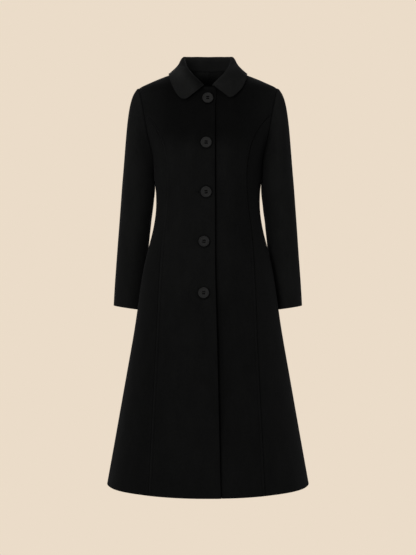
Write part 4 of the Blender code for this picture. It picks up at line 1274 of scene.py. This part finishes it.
turned_button = button_mesh()
for number, (bx, bz, shows, drawn) in enumerate(BUTTONS, start=1):
    place, out, across, up = seat(bx, bz, BUTTON_LIFT)
    axes = np.stack((across, up, out), axis=1)
    mesh = turned_button.copy()
    mesh.name = "button_%d_turned" % number
    co = np.zeros(len(mesh.vertices) * 3, np.float32)
    mesh.vertices.foreach_get("co", co)
    moved = co.reshape(-1, 3) @ axes.T + place * MM
    mesh.vertices.foreach_set("co", moved.astype(np.float32).ravel())
    mesh.attributes.new("painted_light", 'FLOAT', 'POINT').data.foreach_set(
        "value", np.full(len(mesh.vertices), BUTTON_TONE[number - 1], np.float32))
    mesh.update()
    obj = bpy.data.objects.new("button_%d_turned" % number, mesh)
    bpy.context.scene.collection.objects.link(obj)
    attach(obj, "root")
    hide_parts("button_%d" % number)

    # two bars of thread over the face, down through the holes
    spin = math.radians(90.0 + 4.0 * math.sin(2.3 * number))
    u = across * math.cos(spin) + up * math.sin(spin)
    v = -across * math.sin(spin) + up * math.cos(spin)
    bars = []
    for sx in (-0.5, 0.5):
        for strand in (-1.1, -0.55, 0.0, 0.55, 1.1):
            path = []
            for t in np.linspace(-1.0, 1.0, 17):
                reach = 0.5 * HOLE_PITCH * math.copysign(min(1.0, abs(t) * 1.18), t)
                drop = 3.1 * max(0.0, abs(t) - 0.72) / 0.28
                high = 4.35 - drop + 0.2 * (1.0 - abs(strand) / 1.1)
                path.append(place + u * (sx * HOLE_PITCH + strand) + v * reach + out * high)
            bars.append(tube(path, 0.48, 7, 1.0, normal=u))
    poly_object("button_%d_thread" % number, *joined(bars), THREAD)


# ---------------------------------------------------------------- buttonholes
def on_over_front(x, z, lift):
    angle = -angle_at(-x, z)
    return body(angle, z) + body_normal(angle, z) * (lift + form(angle, z) + dimple(x, z))[..., None]


for number, (bx, bz, shows, drawn) in enumerate(BUTTONS, start=1):
    tip = bx - BUTTON_R - shows
    level = bz - 1.6
    eye = 2.1
    # keyhole outline: round eye at the tip, then two lips running under the button
    outline = []
    for t in np.linspace(math.radians(38.0), math.radians(322.0), 26):
        outline.append((tip + eye + eye * math.cos(t), level + eye * math.sin(t)))
    run = np.linspace(tip + 2.0 * eye + 0.4, bx + 3.0, 44)
    upper = [(x, level + 0.72) for x in run[::-1]]
    lower = [(x, level - 0.72) for x in run]
    path2 = np.array(upper + outline + lower)
    path = on_over_front(path2[:, 0], path2[:, 1], 0.25)
    own = lengths(path)
    fine = np.linspace(0.0, own[-1], int(own[-1] / 0.38))
    path = at_lengths(path, own, fine)
    wrap = 0.86 + 0.13 * np.cos(np.arange(len(fine)) * math.pi)
    _, out, across, up = seat(bx, bz, 0.0)
    lips = tube(path, wrap, 8, 0.62, normal=out)
    poly_object("buttonhole_%d_stitch" % number, *lips, STITCH)
    # dark sheet in the slit and its eye: painted shade of the opening
    t = np.linspace(0.0, 2.0 * math.pi, 20, endpoint=False)
    disc = np.stack((tip + eye + 1.35 * np.cos(t), level + 1.35 * np.sin(t)), axis=1)
    slit = np.array(((tip + eye, level + 0.4), (bx + 2.5, level + 0.4), (bx + 2.5, level - 0.4), (tip + eye, level - 0.4)))
    plates = []
    for shape in (disc, slit):
        topside = on_over_front(shape[:, 0], shape[:, 1], 0.16)
        below = on_over_front(shape[:, 0], shape[:, 1], -0.9)
        n = len(shape)
        faces = [tuple(range(n)), tuple(range(2 * n - 1, n - 1, -1))]
        faces += [(i, (i + 1) % n, n + (i + 1) % n, n + i) for i in range(n)]
        plates.append((np.concatenate((topside, below)), faces))
    poly_object("buttonhole_%d_slit" % number, *joined(plates), THREAD, sharp=40.0)


# ---------------------------------------------------------------- seam stitches
def stitch_row(name, outer, first):
    """Tone-on-tone stitches along the welt of a princess seam."""
    count = outer.shape[1]
    k = count - 1 - int(np.argmin(np.abs(EDGE_STEPS - STITCH_GROOVE[1])))
    line = outer[:first, k]
    own = lengths(line)
    step, long = 3.4, 2.5
    made = []
    for s in np.arange(8.0, own[-1] - 10.0, step):
        at = s + np.linspace(0.0, long, 5)
        p = at_lengths(line, own, at)
        out = np.array((p[2][0], p[2][1] + 16.0, 0.0))
        out /= np.linalg.norm(out)
        dip = np.array((-0.22, 0.10, 0.2, 0.10, -0.22))
        made.append(tube(p + out * dip[:, None], np.array((0.2, 0.33, 0.36, 0.33, 0.2)), 6, 0.8, normal=out))
    return poly_object(name, *joined(made), STITCH)


YOKE_ROWS = YOKE_STEPS[0] + YOKE_STEPS[1] + 1
stitch_row("right_princess_stitches", right_outer, len(right_runs) - YOKE_ROWS - 1)
stitch_row("left_princess_stitches", left_outer, len(left_runs) - YOKE_ROWS - 1)


# ---------------------------------------------------------------- hide the model's pieces that these meshes replace
for name, piece in cloth.items():
    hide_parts(name)


# ---------------------------------------------------------------- stage and light
CREAM = (0.8308, 0.7157, 0.5840, 1.0)
FLOOR_BOUNCE = 0.28

floor_mesh = bpy.data.meshes.new("floor")
ring = [(9.0 * math.cos(t), 9.0 * math.sin(t), -1.42) for t in np.linspace(0.0, 2.0 * math.pi, 64, endpoint=False)]
floor_mesh.from_pydata(ring, [], [tuple(range(64))])
floor = bpy.data.objects.new("floor", floor_mesh)
bpy.context.scene.collection.objects.link(floor)
floor_mat = bpy.data.materials.new("floor_pale")
floor_mat.use_nodes = True
floor_tree = floor_mat.node_tree
floor_tree.nodes.clear()
glow = floor_tree.nodes.new("ShaderNodeEmission")
glow.inputs["Color"].default_value = CREAM
bounce = floor_tree.nodes.new("ShaderNodeEmission")
bounce.inputs["Color"].default_value = (0.99, 1.0, 1.0, 1.0)
bounce.inputs["Strength"].default_value = FLOOR_BOUNCE
floor_path = floor_tree.nodes.new("ShaderNodeLightPath")
floor_mix = floor_tree.nodes.new("ShaderNodeMixShader")
floor_tree.links.new(floor_path.outputs["Is Camera Ray"], floor_mix.inputs["Fac"])
floor_tree.links.new(bounce.outputs["Emission"], floor_mix.inputs[1])
floor_tree.links.new(glow.outputs["Emission"], floor_mix.inputs[2])
floor_out = floor_tree.nodes.new("ShaderNodeOutputMaterial")
floor_tree.links.new(floor_mix.outputs["Shader"], floor_out.inputs["Surface"])
floor_mesh.materials.append(floor_mat)

world = bpy.data.worlds.new("studio")
bpy.context.scene.world = world
world.use_nodes = True
tree = world.node_tree
tree.nodes.clear()
seen = tree.nodes.new("ShaderNodeBackground")
seen.inputs["Color"].default_value = CREAM
around = tree.nodes.new("ShaderNodeBackground")
around.inputs["Strength"].default_value = 1.0
place = tree.nodes.new("ShaderNodeTexCoord")
split = tree.nodes.new("ShaderNodeSeparateXYZ")
tree.links.new(place.outputs["Generated"], split.inputs["Vector"])
depth = tree.nodes.new("ShaderNodeMapRange")
depth.inputs["From Min"].default_value = -1.0
depth.inputs["From Max"].default_value = 1.0
tree.links.new(split.outputs["Y"], depth.inputs["Value"])
backdrop = tree.nodes.new("ShaderNodeValToRGB")
backdrop.color_ramp.elements[0].position = 0.30
backdrop.color_ramp.elements[0].color = (0.12, 0.12, 0.12, 1.0)
backdrop.color_ramp.elements[1].position = 0.75
backdrop.color_ramp.elements[1].color = (0.62, 0.62, 0.62, 1.0)
tree.links.new(depth.outputs["Result"], backdrop.inputs["Fac"])
tree.links.new(backdrop.outputs["Color"], around.inputs["Color"])
path = tree.nodes.new("ShaderNodeLightPath")
both = tree.nodes.new("ShaderNodeMixShader")
tree.links.new(path.outputs["Is Camera Ray"], both.inputs["Fac"])
tree.links.new(around.outputs["Background"], both.inputs[1])
tree.links.new(seen.outputs["Background"], both.inputs[2])
world_out = tree.nodes.new("ShaderNodeOutputWorld")
tree.links.new(both.outputs["Shader"], world_out.inputs["Surface"])


def softbox(name, where, at, width, tall, watts):
    light = bpy.data.lights.new(name, 'AREA')
    light.shape = 'RECTANGLE'
    light.size, light.size_y = width, tall
    light.energy = watts
    light.color = (1.0, 1.0, 1.0)
    obj = bpy.data.objects.new(name, light)
    bpy.context.scene.collection.objects.link(obj)
    obj.location = where
    obj.rotation_euler = (Vector(at) - Vector(where)).to_track_quat('-Z', 'Y').to_euler()
    obj.visible_camera = False
    return obj


softbox("front_softbox", (-1.15, -3.4, 0.05), (0.0, 0.0, -0.50), 1.3, 1.5, 58.0)
softbox("top_softbox", (-0.25, -2.0, 1.70), (0.0, 0.0, -0.15), 0.9, 0.9, 10.0)
softbox("back_softbox", (0.10, 3.1, 0.90), (0.0, 0.0, -0.50), 1.3, 1.5, 30.0)
softbox("left_softbox", (-2.7, -1.6, -0.05), (0.0, 0.0, -0.50), 1.3, 1.7, 9.0)
softbox("right_softbox", (2.7, -1.6, -0.05), (0.0, 0.0, -0.50), 1.3, 1.7, 9.0)

camera = bpy.data.cameras.new("camera")
camera.sensor_width = 36.0
camera.lens = 76.7
camera.clip_end = 100.0
eye = bpy.data.objects.new("camera", camera)
bpy.context.scene.collection.objects.link(eye)
eye.location = (0.0, -3.31, -0.586)
eye.rotation_euler = (math.radians(90.0), 0.0, 0.0)
bpy.context.scene.camera = eye
bpy.context.scene.view_settings.view_transform = 'Standard'
bpy.context.scene.view_settings.look = 'None'
